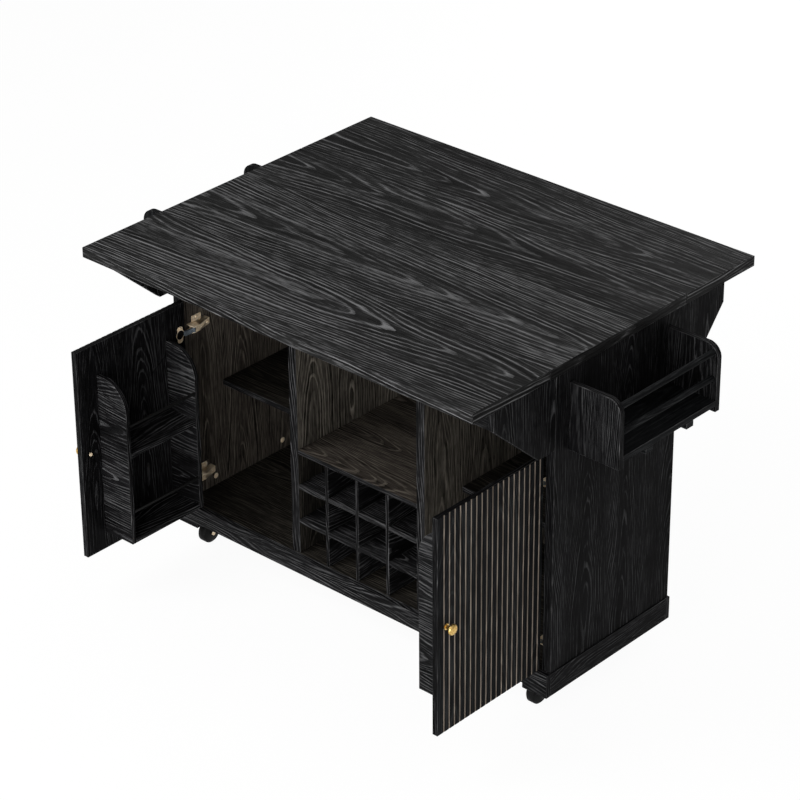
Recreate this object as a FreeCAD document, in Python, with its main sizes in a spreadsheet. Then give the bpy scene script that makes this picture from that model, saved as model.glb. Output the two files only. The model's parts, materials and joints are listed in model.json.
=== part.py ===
import FreeCAD, Part
import Sketcher
import os

# Kitchen cart with a drop-leaf top, two fluted doors, side racks and four casters.
# Frame: X runs to the cart's right, Y to its back, Z up. The origin lies on the floor,
# under the middle of the cart's box with both doors open and both leaves up.

doc = FreeCAD.newDocument("KitchenCart")
sheet = doc.addObject("Spreadsheet::Sheet", "Sizes")

SIZES = [
    # cabinet
    ("cabinet_width", 1196),
    ("cabinet_depth", 435),
    ("side_thickness", 25),
    ("floor_thickness", 25),
    ("back_thickness", 12),
    ("divider_thickness", 25),
    ("divider_spacing", 404),
    ("ground_clearance", 94),
    ("underside_height", 890),
    ("fascia_thickness", 15),
    ("fascia_height", 206),
    ("ceiling_thickness", 15),
    # top
    ("top_end_overhang", 2),
    ("top_thickness", 26),
    ("top_overhang", 23),
    ("leaf_depth", 255.5),
    ("leaf_seam", 1.5),
    # plinth
    ("plinth_thickness", 15),
    ("plinth_height", 60),
    ("plinth_side_proud", 4),
    ("plinth_front_proud", 18),
    ("foot_length", 73),
    ("foot_height", 13),
    # shelves
    ("shelf_thickness", 15),
    ("shelf_height", 287),
    ("shelf_setback", 132.5),
    ("shelf_side_play", 0.5),
    # wine rack
    ("wine_cell_height", 84),
    ("wine_board_thickness", 12),
    ("wine_upright_thickness", 10),
    ("wine_columns", 4),
    ("wine_rows", 3),
    # stemware rails
    ("stem_rail_count", 4),
    ("stem_rail_spacing", 93),
    ("stem_rail_width", 60),
    ("stem_rail_flange", 6),
    ("stem_rail_web", 12),
    ("stem_rail_drop", 25),
    ("stem_rail_length", 330),
    # doors
    ("door_gap", 2),
    ("door_thickness", 15),
    ("pivot_outset", 2.8),
    ("pivot_advance", 2.3),
    ("groove_count", 19),
    ("groove_width", 4.5),
    ("groove_depth", 1.5),
    ("groove_spacing", 17.8),
    ("groove_first", 23),
    # knobs
    ("knob_edge_distance", 28),
    ("knob_drop", 3),
    ("knob_head_radius", 13.5),
    ("knob_head_depth", 15),
    ("knob_neck_radius", 4.5),
    ("knob_neck_length", 12),
    ("knob_base_radius", 7.5),
    ("knob_base_depth", 2.5),
    ("knob_screw_radius", 2),
    ("knob_screw_head_radius", 4.5),
    ("knob_screw_head_depth", 2),
    ("knob_bore_clearance", 0.3),
    # door racks
    ("rack_depth", 95),
    ("rack_bottom_distance", 47),
    ("rack_height", 432),
    ("rack_near_offset", 55.2),
    ("rack_width", 240),
    ("rack_side_thickness", 12),
    ("rack_corner_radius", 75),
    ("rack_shelf_thickness", 12),
    ("rack_shelf_spacing", 235),
    ("rack_bar_height", 6),
    ("rack_bar_thickness", 4),
    ("rack_bar_distance", 84),
    # door hinges
    ("hinge_top_drop", 84),
    ("hinge_bottom_distance", 58),
    ("cup_radius", 13),
    ("cup_depth", 11.5),
    ("cup_wall", 1.2),
    ("cup_edge_distance", 16.5),
    ("cup_flange_height", 44),
    ("cup_flange_width", 17),
    ("cup_flange_thickness", 1.2),
    ("cup_clearance", 0.1),
    ("link_pivot_inset", 21.5),
    ("link_pivot_setback", 21.5),
    ("link_length", 32),
    ("link_height", 12),
    ("link_thickness", 4),
    ("link_toe_length", 4),
    ("link_toe_clearance", 0.3),
    ("link_eye_radius", 3.5),
    ("arm_plate_thickness", 2),
    ("arm_plate_height", 48),
    ("arm_plate_length", 31),
    ("arm_plate_setback", 12),
    ("arm_width", 13),
    ("arm_height", 16),
    ("arm_length", 54),
    ("arm_cheek_thickness", 1.8),
    ("arm_cheek_play", 0.4),
    ("arm_clearance", 1.2),
    ("link_pin_radius", 1.5),
    ("pin_clearance", 0.05),
    # wings
    ("wing_thickness", 15),
    ("wing_front_reach", 207.1),
    ("wing_back_reach", 167.9),
    ("wing_tip_height", 50),
    ("wing_height", 184.7),
    ("wing_flat_length", 55),
    ("wing_end_gap", 1),
    ("wing_top_clearance", 0.3),
    ("wing_hinge_top_drop", 30),
    ("wing_hinge_bottom_distance", 32),
    # butt hinges of the wings and leaves
    ("butt_height", 40),
    ("butt_plate", 1.2),
    ("butt_pin_offset", 3.2),
    ("butt_knuckle_radius", 3),
    ("butt_pin_radius", 1.2),
    ("butt_knuckle_play", 0.4),
    ("butt_relief", 0.4),
    ("wing_plate_reach", 30),
    ("leaf_plate_clearance", 2.75),
    ("leaf_hinge_spacing", 300),
    ("leaf_hinge_count", 3),
    # side racks
    ("side_rack_reach", 142),
    ("side_rack_width", 362),
    ("side_rack_shift", 10),
    ("side_rack_drop", 32),
    ("side_rack_height", 169),
    ("side_rack_end_thickness", 15),
    ("side_rack_corner_radius", 34),
    ("cleat_thickness", 15),
    ("spice_board_thickness", 15),
    ("cleat_width", 25),
    ("cleat_spacing", 146),
    ("spice_rail_count", 2),
    ("spice_rail_radius", 7.5),
    ("spice_rail_edge_distance", 13),
    ("spice_rail_drop", 20),
    ("spice_rail_spacing", 66),
    ("towel_bar_radius", 10),
    ("towel_bar_edge_distance", 26),
    ("towel_bar_drop", 58),
    # casters
    ("caster_inset", 50.5),
    ("wheel_radius", 28),
    ("wheel_width", 26),
    ("wheel_round", 4),
    ("caster_trail", 19),
    ("caster_plate_side", 46),
    ("caster_plate_thickness", 3),
    ("caster_race_radius", 16),
    ("caster_race_depth", 12),
    ("caster_play", 0.4),
    ("kingpin_radius", 4),
    ("kingpin_head_radius", 6.5),
    ("kingpin_head_depth", 3),
    ("fork_crown_radius", 16),
    ("fork_crown_depth", 10),
    ("fork_cheek_thickness", 2.5),
    ("fork_cheek_play", 0.8),
    ("fork_eye_radius", 8),
    ("fork_cheek_half", 13),
    ("axle_radius", 3),
    ("axle_cap_radius", 5.5),
    ("axle_cap_depth", 1.5),
]

for row, (name, value) in enumerate(SIZES, 1):
    sheet.set(f"A{row}", name)
    sheet.set(f"B{row}", str(value))
    sheet.setAlias(f"B{row}", name)
doc.recompute()


class Size:
    """A length as an expression on the sheet, built up from other sizes."""

    def __init__(self, text):
        self.text = text

    def __add__(self, other):
        return Size(f"({self.text} + {as_text(other)})")

    def __radd__(self, other):
        return Size(f"({as_text(other)} + {self.text})")

    def __sub__(self, other):
        return Size(f"({self.text} - {as_text(other)})")

    def __mul__(self, factor):
        return Size(f"({self.text} * {as_text(factor)})")

    def __rmul__(self, factor):
        return Size(f"({as_text(factor)} * {self.text})")

    def __truediv__(self, divisor):
        return Size(f"({self.text} / {as_text(divisor)})")

    def __neg__(self):
        return Size(f"(0 - {self.text})")

    def value(self):
        return float(sheet.evalExpression(self.text))


class SizeSheet:
    """Gives each named size of the sheet as an attribute."""

    def __getattr__(self, name):
        return Size(f"Sizes.{name}")


def as_text(size):
    return size.text if isinstance(size, Size) else str(size)


def count(size):
    return round(size.value())


S = SizeSheet()
ZERO = Size("0")
MIDDLE_KNUCKLE_SHARE = 1 / 3
RIGHT, LEFT = 1, -1
FRONT, BACK = -1, 1

# Places that several pieces share

top_length = S.cabinet_width + 2 * S.top_end_overhang
top_centre_depth = S.cabinet_depth + 2 * S.top_overhang
side_outer = S.cabinet_width / 2
side_inner = side_outer - S.side_thickness
divider_inner = S.divider_spacing / 2 - S.divider_thickness / 2
divider_outer = divider_inner + S.divider_thickness
door_top = S.underside_height - S.fascia_height - S.door_gap
floor_top = S.ground_clearance + S.floor_thickness
door_bottom = floor_top + S.door_gap
door_height = door_top - door_bottom
door_width = side_inner - divider_outer - 2 * S.door_gap

# The door turns about a line just outside its closed hinge edge and in front of its face
pivot_x = side_inner - S.door_gap + S.pivot_outset
pivot_forward = S.cabinet_depth / 2 + S.pivot_advance
door_near = S.pivot_outset
door_far = door_near + door_width
door_face = S.pivot_advance
door_inner_face = door_face + S.door_thickness

# The frame's origin lies midway between the open doors' edges and the back leaf's edge
door_reach = pivot_forward + door_far
back_reach = top_centre_depth / 2 + S.leaf_seam + S.leaf_depth
side_rack_top = S.underside_height - S.side_rack_drop
side_rack_bottom = side_rack_top - S.side_rack_height
mid_y = (door_reach - back_reach) / 2
front_y = mid_y - S.cabinet_depth / 2
back_y = mid_y + S.cabinet_depth / 2
pivot_y = mid_y - pivot_forward
inside_back = back_y - S.back_thickness
ceiling_low = S.underside_height - S.fascia_height

nodes = []


def keep(piece, label):
    """Marks a document object as one of the cart's sub-parts."""
    piece.Label = label
    nodes.append(piece)
    return piece


def set_place(piece, point):
    for axis, size in zip("xyz", point):
        piece.setExpression(f"Placement.Base.{axis}", as_text(size))


def box(name, low, high):
    """A board between its low and its high corner."""
    piece = doc.addObject("Part::Box", name)
    for side, start, end in zip(("Length", "Width", "Height"), low, high):
        piece.setExpression(side, (end - start).text)
    set_place(piece, low)
    return piece


def span(side, start, end):
    """The interval from start to end on the right side, or its mirror image on the left."""
    return (start, end) if side == RIGHT else (-end, -start)


def along(axis):
    """The turn that lays a Z axis along another direction."""
    return FreeCAD.Rotation(FreeCAD.Vector(0, 0, 1), FreeCAD.Vector(*axis))


def rod(name, radius, length, base, axis=(0, 0, 1)):
    """A round rod that starts at base and runs along axis."""
    piece = doc.addObject("Part::Cylinder", name)
    piece.setExpression("Radius", radius.text)
    piece.setExpression("Height", length.text)
    piece.Placement = FreeCAD.Placement(FreeCAD.Vector(), along(axis))
    set_place(piece, base)
    return piece


def joined(name, pieces):
    """One solid from pieces that touch."""
    fuse = doc.addObject("Part::MultiFuse", name)
    fuse.Shapes = pieces
    fuse.Refine = True
    return fuse


def less(name, base, tool):
    cut = doc.addObject("Part::Cut", name)
    cut.Base = base
    cut.Tool = tool
    return cut


def group(name, pieces):
    """Separate solids that share one node."""
    compound = doc.addObject("Part::Compound", name)
    compound.Links = pieces
    return compound


def origin_plane(body, role):
    return [feature for feature in body.Origin.OriginFeatures if feature.Role == role][0]


def outline(body, name, role, points):
    """A closed sketch on an origin plane, each corner tied to two sizes."""
    sketch = body.newObject("Sketcher::SketchObject", name)
    sketch.AttachmentSupport = [(origin_plane(body, role), "")]
    sketch.MapMode = "FlatFace"
    corners = [FreeCAD.Vector(across.value(), up.value(), 0) for across, up in points]
    total = len(corners)
    for index, corner in enumerate(corners):
        sketch.addGeometry(Part.LineSegment(corner, corners[(index + 1) % total]))
    for index in range(total):
        sketch.addConstraint(Sketcher.Constraint("Coincident", index, 2, (index + 1) % total, 1))
    for index, (point, corner) in enumerate(zip(points, corners)):
        for kind, size, start in zip(("DistanceX", "DistanceY"), point, (corner.x, corner.y)):
            tie = sketch.addConstraint(Sketcher.Constraint(kind, -1, 1, index, 1, start))
            sketch.setExpression(f"Constraints[{tie}]", size.text)
    return sketch


def prism(name, role, points, length, base):
    """A body whose outline on an origin plane is padded along the plane's normal."""
    body = doc.addObject("PartDesign::Body", name)
    sketch = outline(body, f"{name}_outline", role, points)
    pad = body.newObject("PartDesign::Pad", f"{name}_pad")
    pad.Profile = sketch
    pad.setExpression("Length", length.text)
    set_place(body, base)
    doc.recompute()
    return body


def rounded(body, radius, corners):
    """Rounds the straight edges whose middles lie at the given places in the body's own frame."""
    base = body.Tip
    names = []
    for corner in corners:
        place = FreeCAD.Vector(*(size.value() for size in corner))
        gaps = [(edge.CenterOfMass - place).Length for edge in base.Shape.Edges]
        names.append(f"Edge{gaps.index(min(gaps)) + 1}")
    fillet = body.newObject("PartDesign::Fillet", f"{body.Name}_round")
    fillet.Base = (base, names)
    fillet.setExpression("Radius", radius.text)
    doc.recompute()
    return body


# Cabinet

def cabinet():
    """Floor, sides, back, dividers, ceiling and fascia."""
    for side, word in ((LEFT, "left"), (RIGHT, "right")):
        low, high = span(side, side_inner, side_outer)
        panel = box(f"side_{word}", (low, front_y, floor_top), (high, back_y, S.underside_height))
        keep(panel, f"side_{word}")
        low, high = span(side, divider_inner, divider_outer)
        divider = box(f"divider_{word}", (low, front_y, floor_top), (high, inside_back, ceiling_low))
        keep(divider, f"divider_{word}")
    floor_x = plinth_inner_x()
    keep(box("bottom_board", (-floor_x, plinth_front_inner(), S.ground_clearance),
             (floor_x, plinth_back_inner(), floor_top)), "bottom_board")
    keep(box("back_panel", (-side_inner, inside_back, floor_top),
             (side_inner, back_y, S.underside_height)), "back_panel")
    keep(box("ceiling_board", (-side_inner, front_y + S.fascia_thickness, ceiling_low),
             (side_inner, inside_back, ceiling_low + S.ceiling_thickness)), "ceiling_board")
    keep(box("fascia", (-side_inner, front_y, ceiling_low),
             (side_inner, front_y + S.fascia_thickness, S.underside_height)), "fascia")


def plinth_inner_x():
    return side_outer + S.plinth_side_proud - S.plinth_thickness


def plinth_front_inner():
    return front_y - S.plinth_front_proud + S.plinth_thickness


def plinth_back_inner():
    return back_y + S.plinth_side_proud - S.plinth_thickness


def plinth():
    """Boards that hang around the floor's edge, the front one on two feet."""
    low = floor_top - S.plinth_height
    outer = side_outer + S.plinth_side_proud
    front = front_y - S.plinth_front_proud
    back = back_y + S.plinth_side_proud
    foot_x = outer - S.foot_length
    raised = low + S.foot_height
    corners = [(-outer, low), (-foot_x, low), (-foot_x, raised), (foot_x, raised), (foot_x, low),
               (outer, low), (outer, floor_top), (-outer, floor_top)]
    board = prism("plinth_front", "XZ_Plane", corners, S.plinth_thickness,
                  (ZERO, front + S.plinth_thickness, ZERO))
    keep(board, "plinth_front")
    inner_back = back - S.plinth_thickness
    keep(box("plinth_back", (-outer, inner_back, low), (outer, back, floor_top)), "plinth_back")
    sides = []
    for side, word in ((LEFT, "left"), (RIGHT, "right")):
        start, end = span(side, plinth_inner_x(), outer)
        sides.append(box(f"plinth_{word}", (start, plinth_front_inner(), low), (end, inner_back, floor_top)))
    keep(group("plinth_sides", sides), "plinth_sides")


def side_shelves():
    """One shelf in each outer compartment, set back to clear the door rack."""
    shelves = []
    low = floor_top + S.shelf_height - S.shelf_thickness
    for side, word in ((LEFT, "left"), (RIGHT, "right")):
        start, end = span(side, divider_outer + S.shelf_side_play, side_inner - S.shelf_side_play)
        shelves.append(box(f"shelf_{word}", (start, front_y + S.shelf_setback, low),
                           (end, inside_back, low + S.shelf_thickness)))
    keep(group("side_shelves", shelves), "side_shelves")


def wine_rack():
    """Shelves and uprights that cross in halving slots, under a top board."""
    rows = count(S.wine_rows)
    columns = count(S.wine_columns)
    pitch_z = S.wine_cell_height + S.wine_board_thickness
    rack_top = floor_top + pitch_z * rows
    half_y = (front_y + inside_back) / 2
    keep(box("wine_top_board", (-divider_inner, front_y, rack_top - S.wine_board_thickness),
             (divider_inner, inside_back, rack_top)), "wine_top_board")
    pitch_x = (2 * divider_inner + S.wine_upright_thickness) / S.wine_columns
    upright_low = [pitch_x * (index + 1) - divider_inner - S.wine_upright_thickness
                   for index in range(columns - 1)]
    board_low = [floor_top + pitch_z * (index + 1) - S.wine_board_thickness for index in range(rows - 1)]
    slots = [box(f"wine_front_slot_{index}", (low, front_y, floor_top),
                 (low + S.wine_upright_thickness, half_y, rack_top))
             for index, low in enumerate(upright_low)]
    shelves = []
    for index, low in enumerate(board_low):
        board = box(f"wine_board_{index}", (-divider_inner, front_y, low),
                    (divider_inner, inside_back, low + S.wine_board_thickness))
        shelves.append(less(f"wine_shelf_{index}", board, group(f"wine_slots_{index}", slots)))
    keep(group("wine_shelves", shelves), "wine_shelves")
    uprights = []
    for index, low in enumerate(upright_low):
        board = box(f"wine_upright_board_{index}", (low, front_y, floor_top),
                    (low + S.wine_upright_thickness, inside_back, rack_top - S.wine_board_thickness))
        notches = [box(f"wine_back_slot_{index}_{step}", (low, half_y, height),
                       (low + S.wine_upright_thickness, inside_back, height + S.wine_board_thickness))
                   for step, height in enumerate(board_low)]
        uprights.append(less(f"wine_upright_{index}", board, group(f"wine_notches_{index}", notches)))
    keep(group("wine_uprights", uprights), "wine_uprights")


def stemware_rails():
    """T-shaped rails under the ceiling, between which glasses hang by their feet."""
    rails = []
    total = count(S.stem_rail_count)
    low = ceiling_low - S.stem_rail_drop
    start_y = mid_y - S.stem_rail_length / 2
    for index in range(total):
        centre = S.stem_rail_spacing * index - S.stem_rail_spacing * (total - 1) / 2
        half = S.stem_rail_width / 2
        web = S.stem_rail_web / 2
        step = low + S.stem_rail_flange
        corners = [(centre - half, low), (centre + half, low), (centre + half, step), (centre + web, step),
                   (centre + web, ceiling_low), (centre - web, ceiling_low), (centre - web, step),
                   (centre - half, step)]
        rails.append(prism(f"stem_rail_{index}", "XZ_Plane", corners, S.stem_rail_length,
                           (ZERO, start_y + S.stem_rail_length, ZERO)))
    keep(group("stemware_rails", rails), "stemware_rails")


def top():
    """A fixed centre board and two leaves."""
    half = top_length / 2
    low = S.underside_height
    high = low + S.top_thickness
    centre = top_centre_depth / 2
    keep(box("top_centre", (-half, mid_y - centre, low), (half, mid_y + centre, high)), "top_centre")
    near = centre + S.leaf_seam
    far = near + S.leaf_depth
    keep(box("leaf_front", (-half, mid_y - far, low), (half, mid_y - near, high)), "leaf_front")
    keep(box("leaf_back", (-half, mid_y + near, low), (half, mid_y + far, high)), "leaf_back")


# Butt hinges

def butt_half(name, reach, fixed):
    """Half a butt hinge about the Z axis: its plate runs to -X and its back faces +Y.

    The fixed half has the outer knuckles and the pin, the moving half the middle knuckle.
    """
    half = S.butt_height / 2
    middle = S.butt_height / 2 * MIDDLE_KNUCKLE_SHARE
    plate = box(f"{name}_plate", (-reach, S.butt_pin_offset - S.butt_plate, -half),
                (ZERO, S.butt_pin_offset, half))
    relief = S.butt_knuckle_radius + S.butt_relief
    outer_bands = [(-half, -middle), (middle, half)]
    middle_bands = [(-middle, middle)]
    own, other = (outer_bands, middle_bands) if fixed else (middle_bands, outer_bands)
    clear = [rod(f"{name}_relief_{index}", relief, high - low + 2 * S.butt_knuckle_play,
                 (ZERO, ZERO, low - S.butt_knuckle_play)) for index, (low, high) in enumerate(other)]
    trimmed = less(f"{name}_trimmed", plate, group(f"{name}_reliefs", clear))
    knuckles = []
    for index, (low, high) in enumerate(own):
        inset = S.butt_knuckle_play / 2
        start = low if fixed and index == 0 else low + inset
        end = high if fixed and index == 1 else high - inset
        knuckles.append(rod(f"{name}_knuckle_{index}", S.butt_knuckle_radius, end - start,
                            (ZERO, ZERO, start)))
    if fixed:
        pin = rod(f"{name}_pin", S.butt_pin_radius, S.butt_height, (ZERO, ZERO, -half))
        return joined(name, [trimmed, pin] + knuckles)
    bore = rod(f"{name}_bore", S.butt_pin_radius + S.pin_clearance, S.butt_height, (ZERO, ZERO, -half))
    return less(name, joined(f"{name}_blank", [trimmed] + knuckles), bore)


def hinge_turn(toward, back):
    """The turn for a half hinge whose plate runs toward one direction and whose back faces another."""
    run = FreeCAD.Vector(*toward)
    rear = FreeCAD.Vector(*back)
    return FreeCAD.Rotation(run.negative(), rear, run.negative().cross(rear), "XYZ")


def hang(piece, point, toward, back):
    piece.Placement = FreeCAD.Placement(FreeCAD.Vector(), hinge_turn(toward, back))
    set_place(piece, point)
    return piece


def wing_hinge_x():
    return side_outer - S.wing_thickness - S.butt_pin_offset


def wing_hinge_y(end):
    return mid_y + end * (S.cabinet_depth / 2 + S.butt_pin_offset)


def wings():
    """Four swing-out brackets, flush with the sides, that hold the leaves up."""
    top_z = S.underside_height - S.wing_top_clearance
    low = top_z - S.wing_height
    tip_low = top_z - S.wing_tip_height
    heights = [S.underside_height - S.wing_hinge_top_drop, low + S.wing_hinge_bottom_distance]
    fixed_plates = []
    for end, end_word, reach in ((FRONT, "front", S.wing_front_reach), (BACK, "back", S.wing_back_reach)):
        near = mid_y + end * (S.cabinet_depth / 2 + S.wing_end_gap)
        flat = near + end * S.wing_flat_length
        far = near + end * reach
        for side, side_word in ((LEFT, "left"), (RIGHT, "right")):
            word = f"{end_word}_{side_word}"
            start = span(side, side_outer - S.wing_thickness, side_outer)[0]
            corners = [(near, low), (flat, low), (far, tip_low), (far, top_z), (near, top_z)]
            wing = prism(f"wing_{word}", "YZ_Plane", corners, S.wing_thickness, (start, ZERO, ZERO))
            keep(wing, f"wing_{word}")
            plates = []
            for index, height in enumerate(heights):
                point = (side * wing_hinge_x(), wing_hinge_y(end), height)
                fixed = butt_half(f"wing_fixed_{word}_{index}", S.wing_plate_reach, True)
                fixed_plates.append(hang(fixed, point, (-side, 0, 0), (0, -end, 0)))
                moving = butt_half(f"wing_moving_{word}_{index}", S.wing_plate_reach, False)
                plates.append(hang(moving, point, (0, end, 0), (side, 0, 0)))
            keep(group(f"wing_{word}_plates", plates), f"wing_{word}_plates")
    keep(group("wing_hinges_fixed", fixed_plates), "wing_hinges_fixed")


def leaf_hinges():
    """Butt hinges under the seams between the centre board and the leaves."""
    total = count(S.leaf_hinge_count)
    reach = S.top_overhang + S.leaf_seam / 2 - S.leaf_plate_clearance
    pin_z = S.underside_height - S.butt_pin_offset
    fixed_plates = []
    for end, word in ((FRONT, "front"), (BACK, "back")):
        pin_y = mid_y + end * (top_centre_depth / 2 + S.leaf_seam / 2)
        plates = []
        for index in range(total):
            point = (S.leaf_hinge_spacing * index - S.leaf_hinge_spacing * (total - 1) / 2, pin_y, pin_z)
            fixed = butt_half(f"leaf_fixed_{word}_{index}", reach, True)
            fixed_plates.append(hang(fixed, point, (0, -end, 0), (0, 0, 1)))
            moving = butt_half(f"leaf_moving_{word}_{index}", reach, False)
            plates.append(hang(moving, point, (0, end, 0), (0, 0, 1)))
        keep(group(f"leaf_{word}_plates", plates), f"leaf_{word}_plates")
    keep(group("leaf_hinges_fixed", fixed_plates), "leaf_hinges_fixed")


# Doors, in the open position. Along a door, distances run from the pivot to its free edge;
# across it, from the pivot towards the middle of the cart.

def door_box(name, side, along_door, across, heights):
    start, end = span(side, pivot_x - across[1], pivot_x - across[0])
    return box(name, (start, pivot_y - along_door[1], heights[0]),
               (end, pivot_y - along_door[0], heights[1]))


def inward(side):
    return (-side, 0, 0)


def door_x(side, across):
    return side * (pivot_x - across)


def hinge_heights():
    return [door_bottom + S.hinge_bottom_distance, door_top - S.hinge_top_drop]


def door_panel(side, word):
    """A panel with upright grooves in its face and bores for two hinge cups and the knob's screw."""
    name = f"door_panel_{word}"
    body = doc.addObject("PartDesign::Body", name)
    across = sorted_pair(side, door_face, door_inner_face)
    corners = [(across[0], -door_far), (across[1], -door_far), (across[1], -door_near),
               (across[0], -door_near)]
    pad = body.newObject("PartDesign::Pad", f"{name}_pad")
    pad.Profile = outline(body, f"{name}_outline", "XY_Plane", corners)
    pad.setExpression("Length", door_height.text)
    groove_start = S.groove_first - S.groove_width / 2
    groove_low = -door_far + groove_start
    groove_high = groove_low + S.groove_width
    depth = sorted_pair(side, door_face, door_face + S.groove_depth)
    groove = [(depth[0], groove_low), (depth[1], groove_low), (depth[1], groove_high),
              (depth[0], groove_high)]
    pocket = body.newObject("PartDesign::Pocket", f"{name}_groove")
    pocket.Profile = outline(body, f"{name}_groove_outline", "XY_Plane", groove)
    pocket.Type = "ThroughAll"
    pocket.Reversed = True
    doc.recompute()
    pattern = body.newObject("PartDesign::LinearPattern", f"{name}_grooves")
    pattern.Originals = [pocket]
    pattern.Direction = (origin_plane(body, "Y_Axis"), [""])
    pattern.setExpression("Length", (S.groove_spacing * (S.groove_count - 1)).text)
    pattern.setExpression("Occurrences", S.groove_count.text)
    body.Tip = pattern
    set_place(body, (side * pivot_x, pivot_y, door_bottom))
    inner_x = door_x(side, door_inner_face)
    cup_y = pivot_y - door_near - S.cup_edge_distance
    bores = [rod(f"{name}_cup_bore_{index}", S.cup_radius + S.cup_clearance, S.cup_depth + S.cup_clearance,
                 (inner_x, cup_y, height), (side, 0, 0)) for index, height in enumerate(hinge_heights())]
    bores.append(rod(f"{name}_screw_bore", S.knob_screw_radius + S.knob_bore_clearance, S.door_thickness,
                     (inner_x, knob_y(), knob_z()), (side, 0, 0)))
    keep(less(f"{name}_bored", body, group(f"{name}_bores", bores)), f"door_{word}")


def sorted_pair(side, near, far):
    """Distances from the pivot towards the middle, as X values in rising order."""
    return (-far, -near) if side == RIGHT else (near, far)


def knob_y():
    return pivot_y - door_far + S.knob_edge_distance


def knob_z():
    return door_bottom + door_height / 2 - S.knob_drop


def knob(side, word):
    """A mushroom knob on the door's face, held by a screw from inside."""
    name = f"door_{word}_knob"
    outward = (side, 0, 0)
    face_x = door_x(side, door_face)
    inner_x = door_x(side, door_inner_face)
    base_y = knob_y()
    height = knob_z()
    head = doc.addObject("Part::Ellipsoid", f"{name}_head")
    head.setExpression("Radius1", (S.knob_head_depth / 2).text)
    head.setExpression("Radius2", S.knob_head_radius.text)
    head.setExpression("Radius3", S.knob_head_radius.text)
    head.Placement = FreeCAD.Placement(FreeCAD.Vector(), along(outward))
    set_place(head, (face_x + side * (S.knob_neck_length + S.knob_head_depth / 2), base_y, height))
    neck_length = S.knob_neck_length + S.knob_head_depth / 2
    neck = rod(f"{name}_neck", S.knob_neck_radius, neck_length, (face_x, base_y, height), outward)
    base = rod(f"{name}_base", S.knob_base_radius, S.knob_base_depth, (face_x, base_y, height), outward)
    shank = rod(f"{name}_shank", S.knob_screw_radius, S.door_thickness + S.knob_base_depth,
                (inner_x, base_y, height), outward)
    screw = rod(f"{name}_screw", S.knob_screw_head_radius, S.knob_screw_head_depth,
                (inner_x, base_y, height), inward(side))
    keep(joined(name, [head, neck, base, shank, screw]), name)


def door_rack(side, word):
    """Two end boards, two shelves and two bars on the door's inner face."""
    name = f"door_{word}_rack"
    low = door_bottom + S.rack_bottom_distance
    high = low + S.rack_height
    far_face = door_inner_face + S.rack_depth
    across = sorted_pair(side, door_inner_face, far_face)
    outer_x = across[0] if side == RIGHT else across[1]
    ends = [S.rack_near_offset, S.rack_near_offset + S.rack_width - S.rack_side_thickness]
    boards = []
    for index, offset in enumerate(ends):
        corners = [(across[0], low), (across[1], low), (across[1], high), (across[0], high)]
        board = prism(f"{name}_side_{index}", "XZ_Plane", corners, S.rack_side_thickness,
                      (side * pivot_x, pivot_y - offset, ZERO))
        rounded(board, S.rack_corner_radius, [(outer_x, -S.rack_side_thickness / 2, high)])
        boards.append(board)
    keep(group(f"{name}_sides", boards), f"{name}_sides")
    inside = (ends[0] + S.rack_side_thickness, ends[1])
    shelves = []
    for index, rise in enumerate((ZERO, S.rack_shelf_spacing)):
        shelves.append(door_box(f"{name}_shelf_{index}", side, inside, (door_inner_face, far_face),
                                (low + rise, low + rise + S.rack_shelf_thickness)))
    keep(group(f"{name}_shelves", shelves), f"{name}_shelves")
    bars = []
    for index, rise in enumerate((ZERO, S.rack_shelf_spacing)):
        bar_low = low + rise + S.rack_bar_distance
        bar_across = (far_face - S.rack_bar_thickness, far_face)
        bars.append(door_box(f"{name}_bar_{index}", side, inside, bar_across,
                             (bar_low, bar_low + S.rack_bar_height)))
    keep(group(f"{name}_bars", bars), f"{name}_bars")


def hinge_cups(side, word):
    """Pressed cups in the door's inner face, each with a flange."""
    name = f"door_{word}_cups"
    cups = []
    centre = door_near + S.cup_edge_distance
    inner_x = door_x(side, door_inner_face)
    flange_face = door_inner_face + S.cup_flange_thickness
    half_width = S.cup_flange_width / 2
    half_height = S.cup_flange_height / 2
    for index, height in enumerate(hinge_heights()):
        point = (inner_x, pivot_y - centre, height)
        flange = door_box(f"{name}_flange_{index}", side, (centre - half_width, centre + half_width),
                          (door_inner_face, flange_face), (height - half_height, height + half_height))
        wall = rod(f"{name}_wall_{index}", S.cup_radius, S.cup_depth, point, (side, 0, 0))
        rim = rod(f"{name}_rim_{index}", S.cup_radius, S.cup_flange_thickness, point, inward(side))
        hollow = rod(f"{name}_hollow_{index}", S.cup_radius - S.cup_wall,
                     S.cup_depth - S.cup_wall + S.cup_flange_thickness,
                     (door_x(side, flange_face), pivot_y - centre, height), (side, 0, 0))
        cups.append(less(f"{name}_{index}", joined(f"{name}_blank_{index}", [flange, wall, rim]), hollow))
    keep(group(name, cups), name)


def link_pin_x(side):
    return side * (side_inner - S.link_pivot_inset)


def link_pin_y():
    return front_y + S.link_pivot_setback


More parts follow.
